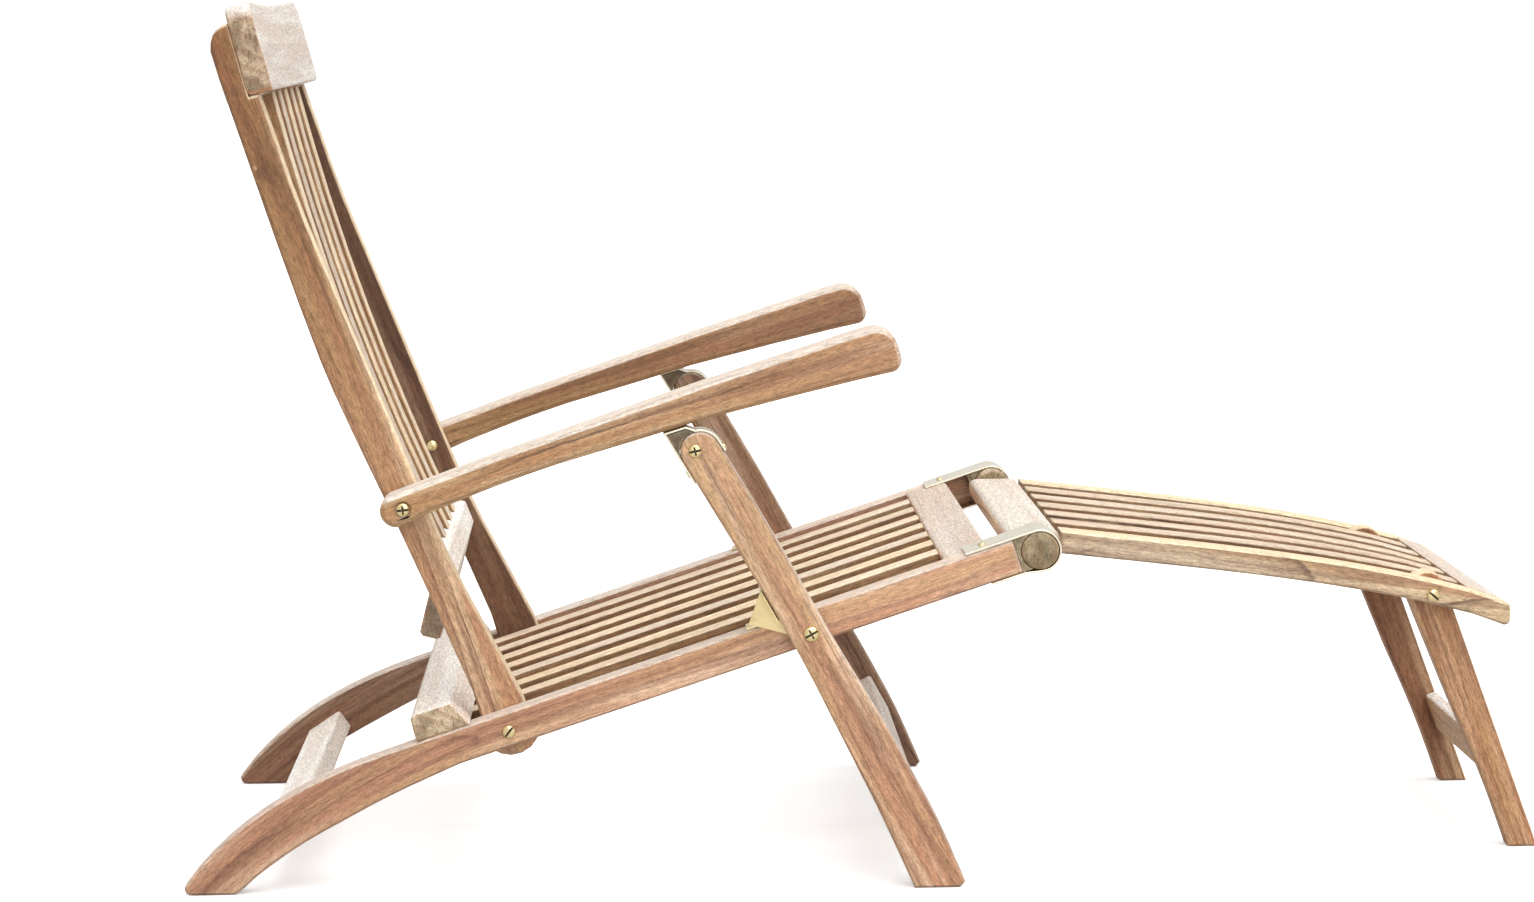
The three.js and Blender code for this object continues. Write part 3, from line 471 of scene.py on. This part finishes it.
def carve(piece, cutter):
    """Takes the cutter's shape out of the piece."""
    select_only(piece)
    cut = piece.modifiers.new("carve", "BOOLEAN")
    cut.object = cutter
    cut.operation = "DIFFERENCE"
    cut.solver = "EXACT"
    cut.material_mode = "TRANSFER"
    bpy.ops.object.modifier_apply(modifier=cut.name)
    bpy.data.objects.remove(cutter)


def apply_place(piece):
    select_only(piece)
    bpy.ops.object.transform_apply(location=True, rotation=True, scale=True)


def copy_to(pattern, name, place):
    """A copy of a finished piece with its own mesh, moved there in its mesh."""
    piece = bpy.data.objects.new(name, pattern.data.copy())
    piece.data.name = name
    piece.data.transform(place)
    bpy.context.scene.collection.objects.link(piece)
    return piece


def finish_piece(piece, material, body):
    piece.data.materials.clear()
    piece.data.materials.append(material)
    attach(piece, body)


def facing_out(x, y, z, side, turn=0.0):
    """The place of a fitting that stands up at the origin, laid with its top outwards on one side."""
    lay = Matrix.Rotation(-side * math.pi / 2, 4, "X")
    return Matrix.Translation((x, y, z)) @ lay @ Matrix.Rotation(turn, 4, "Z")


# ---- Bolts and screws

# Each step of a dome: its share of the height, and its width against the widest step
HEAD_STEPS = [(0.34, 1.0), (0.26, 0.95), (0.2, 0.86), (0.13, 0.72), (0.07, 0.55)]
NUT_STEPS = [(0.35, 1.0), (0.28, 0.9), (0.22, 0.75), (0.15, 0.55)]
SHANK_SIDES = 32
SLOT_REACH = 1.75   # a slot's length, in radii of the head
CROSS_REACH = 1.3   # the crossing slot's
CROSS_SHARE = 0.8   # the crossing slot's width and depth against the first slot's


def slot_cutter(length, width, depth, top, turn):
    """A bar that carves a driver slot; the slot's walls keep its painted shade and dirt."""
    leave_nothing_selected()
    bpy.ops.mesh.primitive_cube_add(size=1, location=(0, 0, top), rotation=(0, 0, turn))
    cutter = bpy.context.object
    cutter.scale = (length, width, 2 * depth)
    apply_place(cutter)
    cutter.data.materials.append(SLOT_BRASS)
    return cutter


def grow_dome(piece, end, up, steps, radius, height, shank_radius):
    """Grows a domed head or nut from one end of a shank."""
    pick_faces(piece, lambda centre, normal: normal.z * up > 0.9 and abs(centre.z - end) < 0.05 * MM)
    step_face(0, radius / shank_radius)
    before = 1.0
    for share, scale in steps:
        step_face(up * share * height, scale / before)
        before = scale
    bpy.ops.object.mode_set(mode="OBJECT")


def standing_screw(head_radius, head_height, shank_radius, shank_length, slot, nut=None, cross=True):
    """A slotted screw or bolt with its head up and its head's underside at the origin."""
    leave_nothing_selected()
    bpy.ops.mesh.primitive_cylinder_add(
        vertices=SHANK_SIDES, radius=shank_radius, depth=shank_length, location=(0, 0, -shank_length / 2)
    )
    screw = bpy.context.object
    apply_place(screw)
    screw.data.materials.append(BOLT_BRASS)
    grow_dome(screw, 0, 1, HEAD_STEPS, head_radius, head_height, shank_radius)
    if nut:
        grow_dome(screw, -shank_length, -1, NUT_STEPS, nut[0], nut[1], shank_radius)
    width, depth = slot
    carve(screw, slot_cutter(SLOT_REACH * head_radius, width, depth, head_height, 0))
    if cross:
        width, depth = CROSS_SHARE * width, CROSS_SHARE * depth
        carve(screw, slot_cutter(CROSS_REACH * head_radius, width, depth, head_height, math.pi / 2))
    select_only(screw)
    bpy.ops.object.shade_smooth_by_angle(angle=math.radians(32))
    return screw


BOLT_SHANK = 4 * MM
BOLT_HEAD = 7.3 * MM
LEG_BOLT_HEAD = 8.4 * MM
BOLT_NUT = 6.5 * MM
HEAD_HEIGHT = 3.6 * MM
NUT_HEIGHT = 3.2 * MM
BOLT_SLOT = (2.5 * MM, 2.2 * MM)
WASHER = 8 * MM
WASHER_PLAY = 0.1 * MM


def turned_bolts(kind, head_radius, cross, turn, has_nut, gap=None):
    """Both bolts of one kind, in the places of their CAD nodes, and a washer in the gap on each side."""
    low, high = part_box(f"{kind}_left")
    shank = high.y - low.y - HEAD_HEIGHT - (NUT_HEIGHT if has_nut else 0)
    nut = (BOLT_NUT, NUT_HEIGHT) if has_nut else None
    pattern = standing_screw(head_radius, HEAD_HEIGHT, BOLT_SHANK, shank, BOLT_SLOT, nut, cross)
    ring = spacer(gap[1] - gap[0]) if gap else None
    middle = (low + high) / 2
    for label, side in SIDES.items():
        node = f"{kind}_{label}"
        place = facing_out(middle.x, side * (high.y - HEAD_HEIGHT), middle.z, side, turn)
        piece = copy_to(pattern, f"{node}_turned", place)
        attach(piece, BODY_OF[node])
        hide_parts(node)
        if ring:
            place = facing_out(middle.x, side * gap[0], middle.z, side)
            washer = copy_to(ring, f"{kind}_washer_{label}", place)
            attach(washer, BODY_OF[node])
    bpy.data.objects.remove(pattern)
    if ring:
        bpy.data.objects.remove(ring)


def spacer(thickness):
    """A washer that lies on the origin."""
    leave_nothing_selected()
    bpy.ops.mesh.primitive_cylinder_add(
        vertices=SHANK_SIDES, radius=WASHER, depth=thickness, location=(0, 0, thickness / 2)
    )
    ring = bpy.context.object
    apply_place(ring)
    leave_nothing_selected()
    bpy.ops.mesh.primitive_cylinder_add(
        vertices=SHANK_SIDES, radius=BOLT_SHANK + WASHER_PLAY, depth=4 * thickness
    )
    carve(ring, bpy.context.object)
    ring.data.materials.clear()
    ring.data.materials.append(BOLT_BRASS)
    return ring


# The last pair of sizes is where the washer lies across the chair
turned_bolts("leg_pivot_bolt", LEG_BOLT_HEAD, True, 0.5, False, (275.2 * MM, 277.2 * MM))
turned_bolts("back_pivot_bolt", BOLT_HEAD, False, 0.9, True)
turned_bolts("arm_bolt", BOLT_HEAD, True, 0.1, True, (247.2 * MM, 249.8 * MM))
turned_bolts("catch_bolt", BOLT_HEAD, True, 0.2, False)
turned_bolts("footrest_leg_bolt", BOLT_HEAD, False, -0.7, True, (174.2 * MM, 175.8 * MM))


# ---- Places in the side view

BACK_PIVOT = JOINT_AT["fold"]
HOOK_AXIS = JOINT_AT["footrest_lift"]


def upright_frame(origin, slope):
    """Gives places along a sloping line and square to it, in the side view."""
    ahead = Vector((math.cos(slope), 0, math.sin(slope)))
    above = Vector((-math.sin(slope), 0, math.cos(slope)))
    return lambda along, up: origin + along * ahead + up * above


on_rail = upright_frame(BACK_PIVOT, RAIL_SLOPE)
at_hook = upright_frame(HOOK_AXIS, RAIL_SLOPE)


def lay_screw(pattern, name, place, outward, body, turn=0.0):
    """Stands a copy of the screw on a surface, with its head outwards in the side view."""
    lean = Vector((0, 0, 1)).rotation_difference(Vector(outward)).to_matrix().to_4x4()
    turned = Matrix.Translation(place) @ lean @ Matrix.Rotation(turn, 4, "Z")
    screw = copy_to(pattern, name, turned)
    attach(screw, body)


STRAP = 2.2 * MM
# The rail's faces above and below the line through the pivots
RAIL_ABOVE = 21 * MM
RAIL_BELOW = 16.5 * MM
CLEAR = 0.3 * MM
HOOK_MIDDLE_Y = 251.5 * MM
LEG_MIDDLE_Y = 289.9 * MM
# From the back pivot along the rail
UPPER_HOOK_SCREW = 548.6 * MM
LOWER_HOOK_SCREW = 552.0 * MM
# The catch strap's screws: places on its outer side, from the catch bolt
CATCH_SCREWS = {"rear": ((-6.7, -27.1), (-0.857, -0.514)), "front": ((31.1, 3.9), (0.831, 0.556))}

SCREW_HEAD = 4.3 * MM
SCREW_HEAD_HEIGHT = 1.7 * MM
SCREW_SHANK = 1.8 * MM
SCREW_LENGTH = 12 * MM
SCREW_SLOT = (1.4 * MM, 0.9 * MM)
wood_screw = standing_screw(
    SCREW_HEAD, SCREW_HEAD_HEIGHT, SCREW_SHANK, SCREW_LENGTH, SCREW_SLOT, cross=False
)
catch_bolt_at = (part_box("catch_bolt_left")[0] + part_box("catch_bolt_left")[1]) / 2
rail_up = on_rail(0, 1) - on_rail(0, 0)


def by_catch_bolt(offset, y=0.0):
    """A place in the side view, in mm from the catch bolt."""
    return Vector((catch_bolt_at.x + offset[0] * MM, y, catch_bolt_at.z + offset[1] * MM))


for label, side in SIDES.items():
    hook_y = Vector((0, side * HOOK_MIDDLE_Y, 0))
    above = on_rail(UPPER_HOOK_SCREW, RAIL_ABOVE + CLEAR + STRAP) + hook_y
    below = on_rail(LOWER_HOOK_SCREW, -(RAIL_BELOW + CLEAR + STRAP)) + hook_y
    lay_screw(wood_screw, f"hook_upper_screw_{label}", above, rail_up, "seat", 0.5)
    lay_screw(wood_screw, f"hook_lower_screw_{label}", below, -rail_up, "seat", -0.3)
    for place, (offset, outward) in CATCH_SCREWS.items():
        at = by_catch_bolt(offset, side * LEG_MIDDLE_Y)
        outward = (outward[0], 0, outward[1])
        lay_screw(wood_screw, f"catch_{place}_screw_{label}", at, outward, "front_legs", 0.8)
bpy.data.objects.remove(wood_screw)


# ---- Small wooden blocks behind the brass, darkened as painted shade

ROUGH_BLOCK = 300 * MM
ROUND_SIDES = 64


def trimmed_block(name, corners, y_low, y_high):
    """A block whose side view has the given corners, in order round it, cut from a larger one."""
    middle = sum(corners, Vector()) / len(corners)
    leave_nothing_selected()
    bpy.ops.mesh.primitive_cube_add(size=1, location=(middle.x, (y_low + y_high) / 2, middle.z))
    block = bpy.context.object
    block.name = name
    block.scale = (ROUGH_BLOCK, y_high - y_low, ROUGH_BLOCK)
    apply_place(block)
    for first, second in zip(corners, corners[1:] + corners[:1]):
        edge = second - first
        outward = Vector((edge.z, 0, -edge.x))
        if outward.dot(middle - first) > 0:
            outward = -outward
        bpy.ops.object.mode_set(mode="EDIT")
        bpy.ops.mesh.select_all(action="SELECT")
        bpy.ops.mesh.bisect(plane_co=first, plane_no=outward, use_fill=True, clear_outer=True)
        bpy.ops.object.mode_set(mode="OBJECT")
    return block


def round_cutter(centre, radius, y_low, y_high):
    leave_nothing_selected()
    bpy.ops.mesh.primitive_cylinder_add(
        vertices=ROUND_SIDES, radius=radius, depth=y_high - y_low, rotation=(math.pi / 2, 0, 0),
        location=(centre.x, (y_low + y_high) / 2, centre.z),
    )
    apply_place(bpy.context.object)
    return bpy.context.object


DOWEL_RADIUS = 20.7 * MM
# Across the chair: both blocks, and the cuts that go right through them
HOOK_Y = (229.5 * MM, 273.5 * MM)
CATCH_Y = (279.0 * MM, 301.0 * MM)
HOOK_CUT = (220 * MM, 285 * MM)
CATCH_CUT = (270 * MM, 310 * MM)
LEG_CAP_RADIUS = 21.5 * MM
# From the catch bolt: the middle of the leg's rounded top, and the space behind it under the strap
LEG_CAP_MIDDLE = (5.62, -0.94)
CATCH_CORNERS = [(-14.9, -10.2), (-29.8, 16.6), (-10.2, 22.6), (0.5, 19.6), (5.6, 0.0)]
# From the hook's axis: the block that fills the strap's loop behind the dowel
HOOK_CORNERS = [(-24.6, -16.4), (-24.6, 20.9), (-2.0, 20.9), (-2.0, -16.4)]


def sided(low_high, side):
    """The range across the chair on one side."""
    return tuple(sorted((side * low_high[0], side * low_high[1])))


def painted_shade_packing_teak(name, tint):
    """Dark teak for a block that hardly shows: its darkness is painted shade."""
    look = (tint, tint, 1.0, SILVER_ROSE, 0.0, 0.0)
    return teak(name, Vector(), "across", (1.3, 2.1, 0.4), (0, 0.09, 0.03), 0.1, look, 0)


# The hook packing's olive tint is painted shade inside the loop; the catch block stands in the dark gap under the
# arm, and its near-black tint is painted shade
HOOK_PACKING = painted_shade_packing_teak("teak hook packing", (0.62, 0.66, 0.56, 1))
CATCH_PACKING = painted_shade_packing_teak("teak catch packing", (0.24, 0.22, 0.17, 1))
for label, side in SIDES.items():
    packing = trimmed_block(
        f"hook_packing_{label}", [at_hook(x * MM, z * MM) for x, z in HOOK_CORNERS], *sided(HOOK_Y, side)
    )
    carve(packing, round_cutter(HOOK_AXIS, DOWEL_RADIUS + 2 * CLEAR, *sided(HOOK_CUT, side)))
    finish_piece(packing, HOOK_PACKING, "seat")
    corners = [by_catch_bolt(corner) for corner in CATCH_CORNERS]
    block = trimmed_block(f"catch_packing_{label}", corners, *sided(CATCH_Y, side))
    carve(block, round_cutter(by_catch_bolt(LEG_CAP_MIDDLE), LEG_CAP_RADIUS + CLEAR, *sided(CATCH_CUT, side)))
    finish_piece(block, CATCH_PACKING, "front_legs")


# ---- Headrest

# The board's middle in mm from the back pivot, its tilt and its sizes
HEADREST_AT = (-262.5, 733.62)
HEADREST_TILT = math.radians(14.80)
HEADREST_THICK = 28 * MM
HEADREST_HIGH = 98 * MM
HEADREST_HOLLOW = 5 * MM
HEADREST_DIP = 4 * MM
HEADREST_CUTS = 16
TOP_CORNER = 26 * MM
BOTTOM_CORNER = 10 * MM
CORNER_STEPS = 8
HEADREST_EDGE = 3 * MM
SAME_PLACE = 0.02 * MM


def pick_edges(piece, wanted):
    """Goes to edit mode with just the edges whose two ends wanted(first, second) names."""
    bpy.ops.object.mode_set(mode="EDIT")
    bpy.ops.mesh.select_mode(type="EDGE")
    bpy.ops.mesh.select_all(action="DESELECT")
    bpy.ops.object.mode_set(mode="OBJECT")
    places = [corner.co for corner in piece.data.vertices]
    for edge in piece.data.edges:
        edge.select = wanted(places[edge.vertices[0]], places[edge.vertices[1]])
    bpy.ops.object.mode_set(mode="EDIT")


def pick_corners(piece, wanted):
    bpy.ops.object.mode_set(mode="EDIT")
    bpy.ops.mesh.select_mode(type="VERT")
    bpy.ops.mesh.select_all(action="DESELECT")
    bpy.ops.object.mode_set(mode="OBJECT")
    for corner in piece.data.vertices:
        corner.select = wanted(corner.co)
    bpy.ops.object.mode_set(mode="EDIT")


def shaped_headrest():
    """The headrest board: hollow across its front, dipping along its top, with rounded corners."""
    half_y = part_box("headrest")[1].y
    leave_nothing_selected()
    bpy.ops.mesh.primitive_cube_add(size=1)
    board = bpy.context.object
    board.name = "headrest_shaped"
    board.scale = (HEADREST_THICK, 2 * half_y, HEADREST_HIGH)
    apply_place(board)
    for top in (True, False):
        half_z = HEADREST_HIGH / 2 if top else -HEADREST_HIGH / 2
        pick_edges(board, lambda a, b: max(abs(a.z - half_z), abs(b.z - half_z), abs(a.y - b.y)) < MM)
        bpy.ops.mesh.bevel(offset=TOP_CORNER if top else BOTTOM_CORNER, segments=CORNER_STEPS, affect="EDGES")
        bpy.ops.object.mode_set(mode="OBJECT")
    for i in range(1, HEADREST_CUTS):
        y = half_y * (2 * i / HEADREST_CUTS - 1)
        if abs(y) > half_y - TOP_CORNER - MM:
            continue
        bpy.ops.object.mode_set(mode="EDIT")
        bpy.ops.mesh.select_all(action="SELECT")
        bpy.ops.mesh.bisect(plane_co=(0, y, 0), plane_no=(0, 1, 0))
        bpy.ops.object.mode_set(mode="OBJECT")
    columns = sorted({round(corner.co.y, 5) for corner in board.data.vertices})
    for y in columns:
        depth = 1 - (y / half_y) ** 2
        pick_corners(board, lambda place: abs(place.y - y) < SAME_PLACE and place.x > 0)
        bpy.ops.transform.translate(value=(-HEADREST_HOLLOW * depth, 0, 0))
        pick_corners(board, lambda place: abs(place.y - y) < SAME_PLACE and place.z > HEADREST_HIGH / 2 - MM)
        if any(corner.select for corner in board.data.vertices):
            bpy.ops.transform.translate(value=(0, 0, -HEADREST_DIP * depth))
        bpy.ops.object.mode_set(mode="OBJECT")
    edge = board.modifiers.new("edge", "BEVEL")
    edge.width = HEADREST_EDGE
    edge.segments = 4
    edge.limit_method = "ANGLE"
    edge.angle_limit = math.radians(40)
    select_only(board)
    bpy.ops.object.modifier_apply(modifier=edge.name)
    bpy.ops.object.shade_smooth_by_angle(angle=math.radians(40))
    middle = BACK_PIVOT + Vector((HEADREST_AT[0], 0, HEADREST_AT[1])) * MM
    board.data.transform(Matrix.Translation(middle) @ Matrix.Rotation(-HEADREST_TILT, 4, "Y"))
    return board


# ---- Teak on the CAD members


def soften(node, width, segments=3):
    """Rounds a member's edges a little more and smooths its curves."""
    weld = node.modifiers.new("weld", "WELD")
    weld.merge_threshold = 0.01 * MM
    flatten = node.modifiers.new("flatten", "DECIMATE")
    flatten.decimate_type = "DISSOLVE"
    flatten.angle_limit = math.radians(0.5)
    edge = node.modifiers.new("edge", "BEVEL")
    edge.width = width
    edge.segments = segments
    edge.limit_method = "ANGLE"
    edge.angle_limit = math.radians(25)
    edge.harden_normals = True
    for face in node.data.polygons:
        face.use_smooth = True
    even = node.modifiers.new("even", "WEIGHTED_NORMAL")
    even.keep_sharp = True
    even.weight = 90


# kind of node: grain direction, tint at the rear or lower end and at the other (partly painted shade), colour in
# the sun, how far the upper faces have faded and are painted lit, darkness of the painted shade on inward and
# downward faces, rounding of the edges in mm
TEAK_MEMBERS = {
    # The tints along a member are partly the wood's own tone and partly painted shade: the side rails darker at
    # their rear ends, the back stiles darker at their upper ends
    "side_rail": (RAIL_SLOPE, (0.72, 0.65, 0.68), (0.94, 0.90, 0.94), SILVER_ROSE, 0.9, 0.5, 1.2),
    "rear_stretcher": ("across", (1, 1, 1), (1, 1, 1), PALE_SILVER, 1.0, 0.1, 1.2),
    "seat_rear_board": ("across", (0.95, 0.95, 0.9), (0.95, 0.95, 0.9), PALE_SILVER, 1.0, 0.05, 1.0),
    "seat_rear_cross_rail": ("across", (0.8, 0.8, 0.8), (0.8, 0.8, 0.8), SILVER_ROSE, 0.6, 0.5, 1.0),
    "seat_front_board": ("across", (0.9, 0.9, 0.9), (0.9, 0.9, 0.9), (0.53, 0.46, 0.40), 0.95, 0.3, 1.2),
    "seat_slat": (RAIL_SLOPE, (0.85, 0.8, 0.66), (0.85, 0.8, 0.66), CREAM, 0.95, 0.75, 0.8),
    "back_stile": (STILE_SLOPE, (0.86, 0.82, 0.80), (0.42, 0.33, 0.24), CREAM, 0.95, 0.95, 1.2),
    "headrest": ("across", (0.76, 0.72, 0.68), (0.76, 0.72, 0.68), (0.66, 0.61, 0.56), 1.0, 0.0, 1.0),
    "lower_back_board": ("across", (0.9, 0.9, 0.9), (0.9, 0.9, 0.9), PALE_SILVER, 1.0, 0.3, 1.0),
    "back_slat": (STILE_SLOPE, (0.9, 0.82, 0.62), (0.9, 0.82, 0.62), CREAM, 1.0, 0.75, 0.9),
    "arm": (ARM_SLOPE, (0.67, 0.63, 0.53), (0.69, 0.61, 0.58), SILVER_ROSE, 1.0, 0.3, 2.0),
    "front_leg": (LEG_SLOPE, (0.86, 0.85, 0.89), (0.80, 0.73, 0.75), SILVER_ROSE, 0.9, 0.6, 1.2),
    "leg_stretcher": ("across", (0.9, 0.9, 0.9), (0.9, 0.9, 0.9), PALE_SILVER, 0.95, 0.3, 1.2),
    "footrest_pivot_board": ("across", (0.9, 0.9, 0.9), (0.9, 0.9, 0.9), (0.58, 0.53, 0.47), 0.95, 0.2, 2.0),
    "footrest_end_board": ("across", (0.9, 0.9, 0.9), (0.9, 0.9, 0.9), (0.56, 0.50, 0.44), 0.95, 0.3, 1.2),
    # The dowel's dull olive tint is painted shade inside the brass loops
    "footrest_dowel": ("across", (0.58, 0.58, 0.48), (0.58, 0.58, 0.48), SILVER_ROSE, 0.2, 0.0, 1.0),
    "footrest_rail": (FOOTREST_SLOPE, (0.69, 0.76, 0.84), (0.76, 0.80, 0.78), CREAM, 0.95, 0.4, 1.2),
    "footrest_slat": (FOOTREST_SLOPE, (0.8, 0.76, 0.66), (0.8, 0.76, 0.66), DULL_CREAM, 0.85, 0.75, 0.9),
    "footrest_leg": (FOOT_LEG_SLOPE, (0.62, 0.50, 0.42), (0.72, 0.62, 0.54), CREAM, 0.9, 0.35, 1.2),
    "footrest_stretcher": ("across", (1, 1, 0.95), (1, 1, 0.95), PALE_SILVER, 1.0, 0.2, 1.2),
}
# kind of node: from where, along the member from its middle, it curves and how much
BENDS = {"side_rail": (-0.09, 0.57)}
# node: where a knot is in the side view, and its radius
KNOTS = {
    "back_stile_right": (-660.2 * MM, 782.7 * MM, 3.5 * MM),
    "side_rail_right": (-648.8 * MM, 54.5 * MM, 2.6 * MM),
}

# The furthest that a slat's colour lies from its cream towards silver rose
SLAT_ROSE = 0.8

chance = random.Random(7)


def member_kind(node):
    stem = node.rsplit("_", 1)[0]
    return stem if stem in TEAK_MEMBERS else node


def board_teak(node, kind):
    """The teak of one board, with a figure of its own."""
    along, first_tint, last_tint, faded, fade_and_light, painted_shade_amount, _ = TEAK_MEMBERS[kind]
    low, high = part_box(node)
    middle = (low + high) / 2
    if "slat" in kind:
        rose, tone = SLAT_ROSE * chance.random(), chance.uniform(0.88, 1.0)
        faded = [(a + (b - a) * rose) * tone for a, b in zip(faded[:3], SILVER_ROSE)]
    look = ((*first_tint, 1), (*last_tint, 1), (high - low).length, (*faded[:3], 1), fade_and_light, painted_shade_amount)
    seed = [chance.uniform(-5, 5) for _ in range(3)]
    pith_turn, pith_away = chance.uniform(0, 2 * math.pi), chance.uniform(0.05, 0.13)
    pith = (0, pith_away * math.cos(pith_turn), pith_away * math.sin(pith_turn))
    redness = chance.uniform(-0.3, 0.2)
    side = SIDES.get(node.rsplit("_", 1)[-1], 0)
    knot = None
    if node in KNOTS:
        across, up, radius = KNOTS[node]
        away = Vector((across - middle.x, 0, up - middle.z))
        upward = Vector((-math.sin(along), 0, math.cos(along)))
        knot = (away.dot(grain_direction(along)), away.dot(upward), radius)
    return teak(f"teak {node}", middle, along, seed, pith, redness, look, -side, BENDS.get(kind), knot)


for node in sorted(NODES):
    kind = member_kind(node)
    if kind not in TEAK_MEMBERS:
        continue
    NODES[node].data.materials.clear()
    NODES[node].data.materials.append(board_teak(node, kind))
    soften(NODES[node], TEAK_MEMBERS[kind][-1] * MM)

headrest = shaped_headrest()
finish_piece(headrest, NODES["headrest"].data.materials[0], "back")
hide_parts("headrest")

for kind in ("hook_strap", "leg_stop", "catch_strap"):
    for label in SIDES:
        strap = NODES[f"{kind}_{label}"]
        strap.data.materials.clear()
        strap.data.materials.append(STRAP_BRASS if kind == "leg_stop" else LOOP_BRASS)
        soften(strap, 0.5 * MM, 2)


# ---- Floor, light and camera

FLOOR_SIZE = 60
FLOOR_DROP = 0.4 * MM   # just under the feet
leave_nothing_selected()
bpy.ops.mesh.primitive_plane_add(size=FLOOR_SIZE, location=(0, 0, -FLOOR_DROP))
floor = bpy.context.object
floor.name = "floor"
floor_finish, floor_tree, floor_shader = new_material("pale floor")
floor_place = floor_tree.nodes.new("ShaderNodeTexCoord").outputs["Object"]
floor_clouds = noise(floor_tree, floor_place, (1.5, 1.5, 1.5), 4)
floor_seen = floor_tree.nodes.new("ShaderNodeLightPath").outputs["Is Camera Ray"]
# White to the camera; it throws less light back, so the chair's underside stays dark
floor_colour = mix_colours(floor_tree, floor_clouds, (0.9, 0.9, 0.9, 1), (0.95, 0.95, 0.945, 1))
floor_colour = mix_colours(floor_tree, floor_seen, (0.5, 0.49, 0.48, 1), floor_colour)
floor_tree.links.new(floor_colour, floor_shader.inputs["Base Color"])
floor_tree.links.new(times(floor_tree, floor_seen, 0.3), floor_shader.inputs["Emission Strength"])
floor_shader.inputs["Emission Color"].default_value = (1, 1, 1, 1)
floor_shader.inputs["Roughness"].default_value = 0.7
floor.data.materials.append(floor_finish)

# White to the camera; as light, bright overhead and dimmer towards the horizon
world = bpy.data.worlds.new("white studio")
world.use_nodes = True
sky = world.node_tree
light_path = sky.nodes.new("ShaderNodeLightPath").outputs
seen = times_plus(sky, light_path["Is Glossy Ray"], 0.7, light_path["Is Camera Ray"], clamp=True)
direction = sky.nodes.new("ShaderNodeTexCoord").outputs["Generated"]
height = put_node(sky, "ShaderNodeSeparateXYZ", {0: direction}).outputs["Z"]
fill = times_plus(sky, rise(sky, height, -0.1, 0.9), 0.75, 0.35)
sky_light = put_node(sky, "ShaderNodeMix", {0: seen, 2: fill, 3: 1.05}, data_type="FLOAT").outputs[0]
sky.nodes["Background"].inputs["Color"].default_value = (1, 1, 1, 1)
sky.links.new(sky_light, sky.nodes["Background"].inputs["Strength"])
bpy.context.scene.world = world


def hang_light(name, light, place, target):
    lamp = bpy.data.objects.new(name, light)
    lamp.location = place
    lamp.rotation_euler = (Vector(target) - Vector(place)).to_track_quat("-Z", "Y").to_euler()
    bpy.context.scene.collection.objects.link(lamp)


overhead = bpy.data.lights.new("overhead soft box", "SUN")
overhead.energy = 2.2
overhead.angle = math.radians(55)
hang_light("overhead soft box", overhead, (1.0, -0.8, 4.0), (0, 0, 0))
front = bpy.data.lights.new("front soft box", "AREA")
front.shape = "DISK"
front.size = 2.6
front.energy = 70
hang_light("front soft box", front, (0.6, -4.4, 1.8), (0, 0, 0.4))

# The camera stands where the photo was taken from, seen from the chair's right side
CAMERA_PLACE = Vector((-257.3, -3818.4, 951.1)) * MM
CAMERA_YAW, CAMERA_PITCH, CAMERA_ROLL = 0.052219, 0.126805, -0.006117
IMAGE_WIDTH, IMAGE_HEIGHT = 1534, 902
FOCAL_PIXELS = 3337.9
AXIS_PIXEL = (812, 430)
SENSOR = 36

yaw, pitch, roll = CAMERA_YAW, CAMERA_PITCH, CAMERA_ROLL
forward = Vector((math.sin(yaw) * math.cos(pitch), math.cos(yaw) * math.cos(pitch), -math.sin(pitch)))
level = Vector((math.cos(yaw), -math.sin(yaw), 0))
upright = level.cross(forward)
right = math.cos(roll) * level + math.sin(roll) * upright
above = math.cos(roll) * upright - math.sin(roll) * level

lens = bpy.data.cameras.new("camera")
lens.sensor_fit = "HORIZONTAL"
lens.sensor_width = SENSOR
lens.lens = FOCAL_PIXELS * SENSOR / IMAGE_WIDTH
lens.shift_x = (IMAGE_WIDTH / 2 - AXIS_PIXEL[0]) / IMAGE_WIDTH
lens.shift_y = (AXIS_PIXEL[1] - IMAGE_HEIGHT / 2) / IMAGE_WIDTH
lens.clip_end = 200
camera = bpy.data.objects.new("camera", lens)
turned = Matrix((right, above, -forward)).transposed().to_4x4()
camera.matrix_world = Matrix.Translation(CAMERA_PLACE) @ turned
bpy.context.scene.collection.objects.link(camera)
bpy.context.scene.camera = camera
bpy.context.scene.view_settings.view_transform = "Standard"
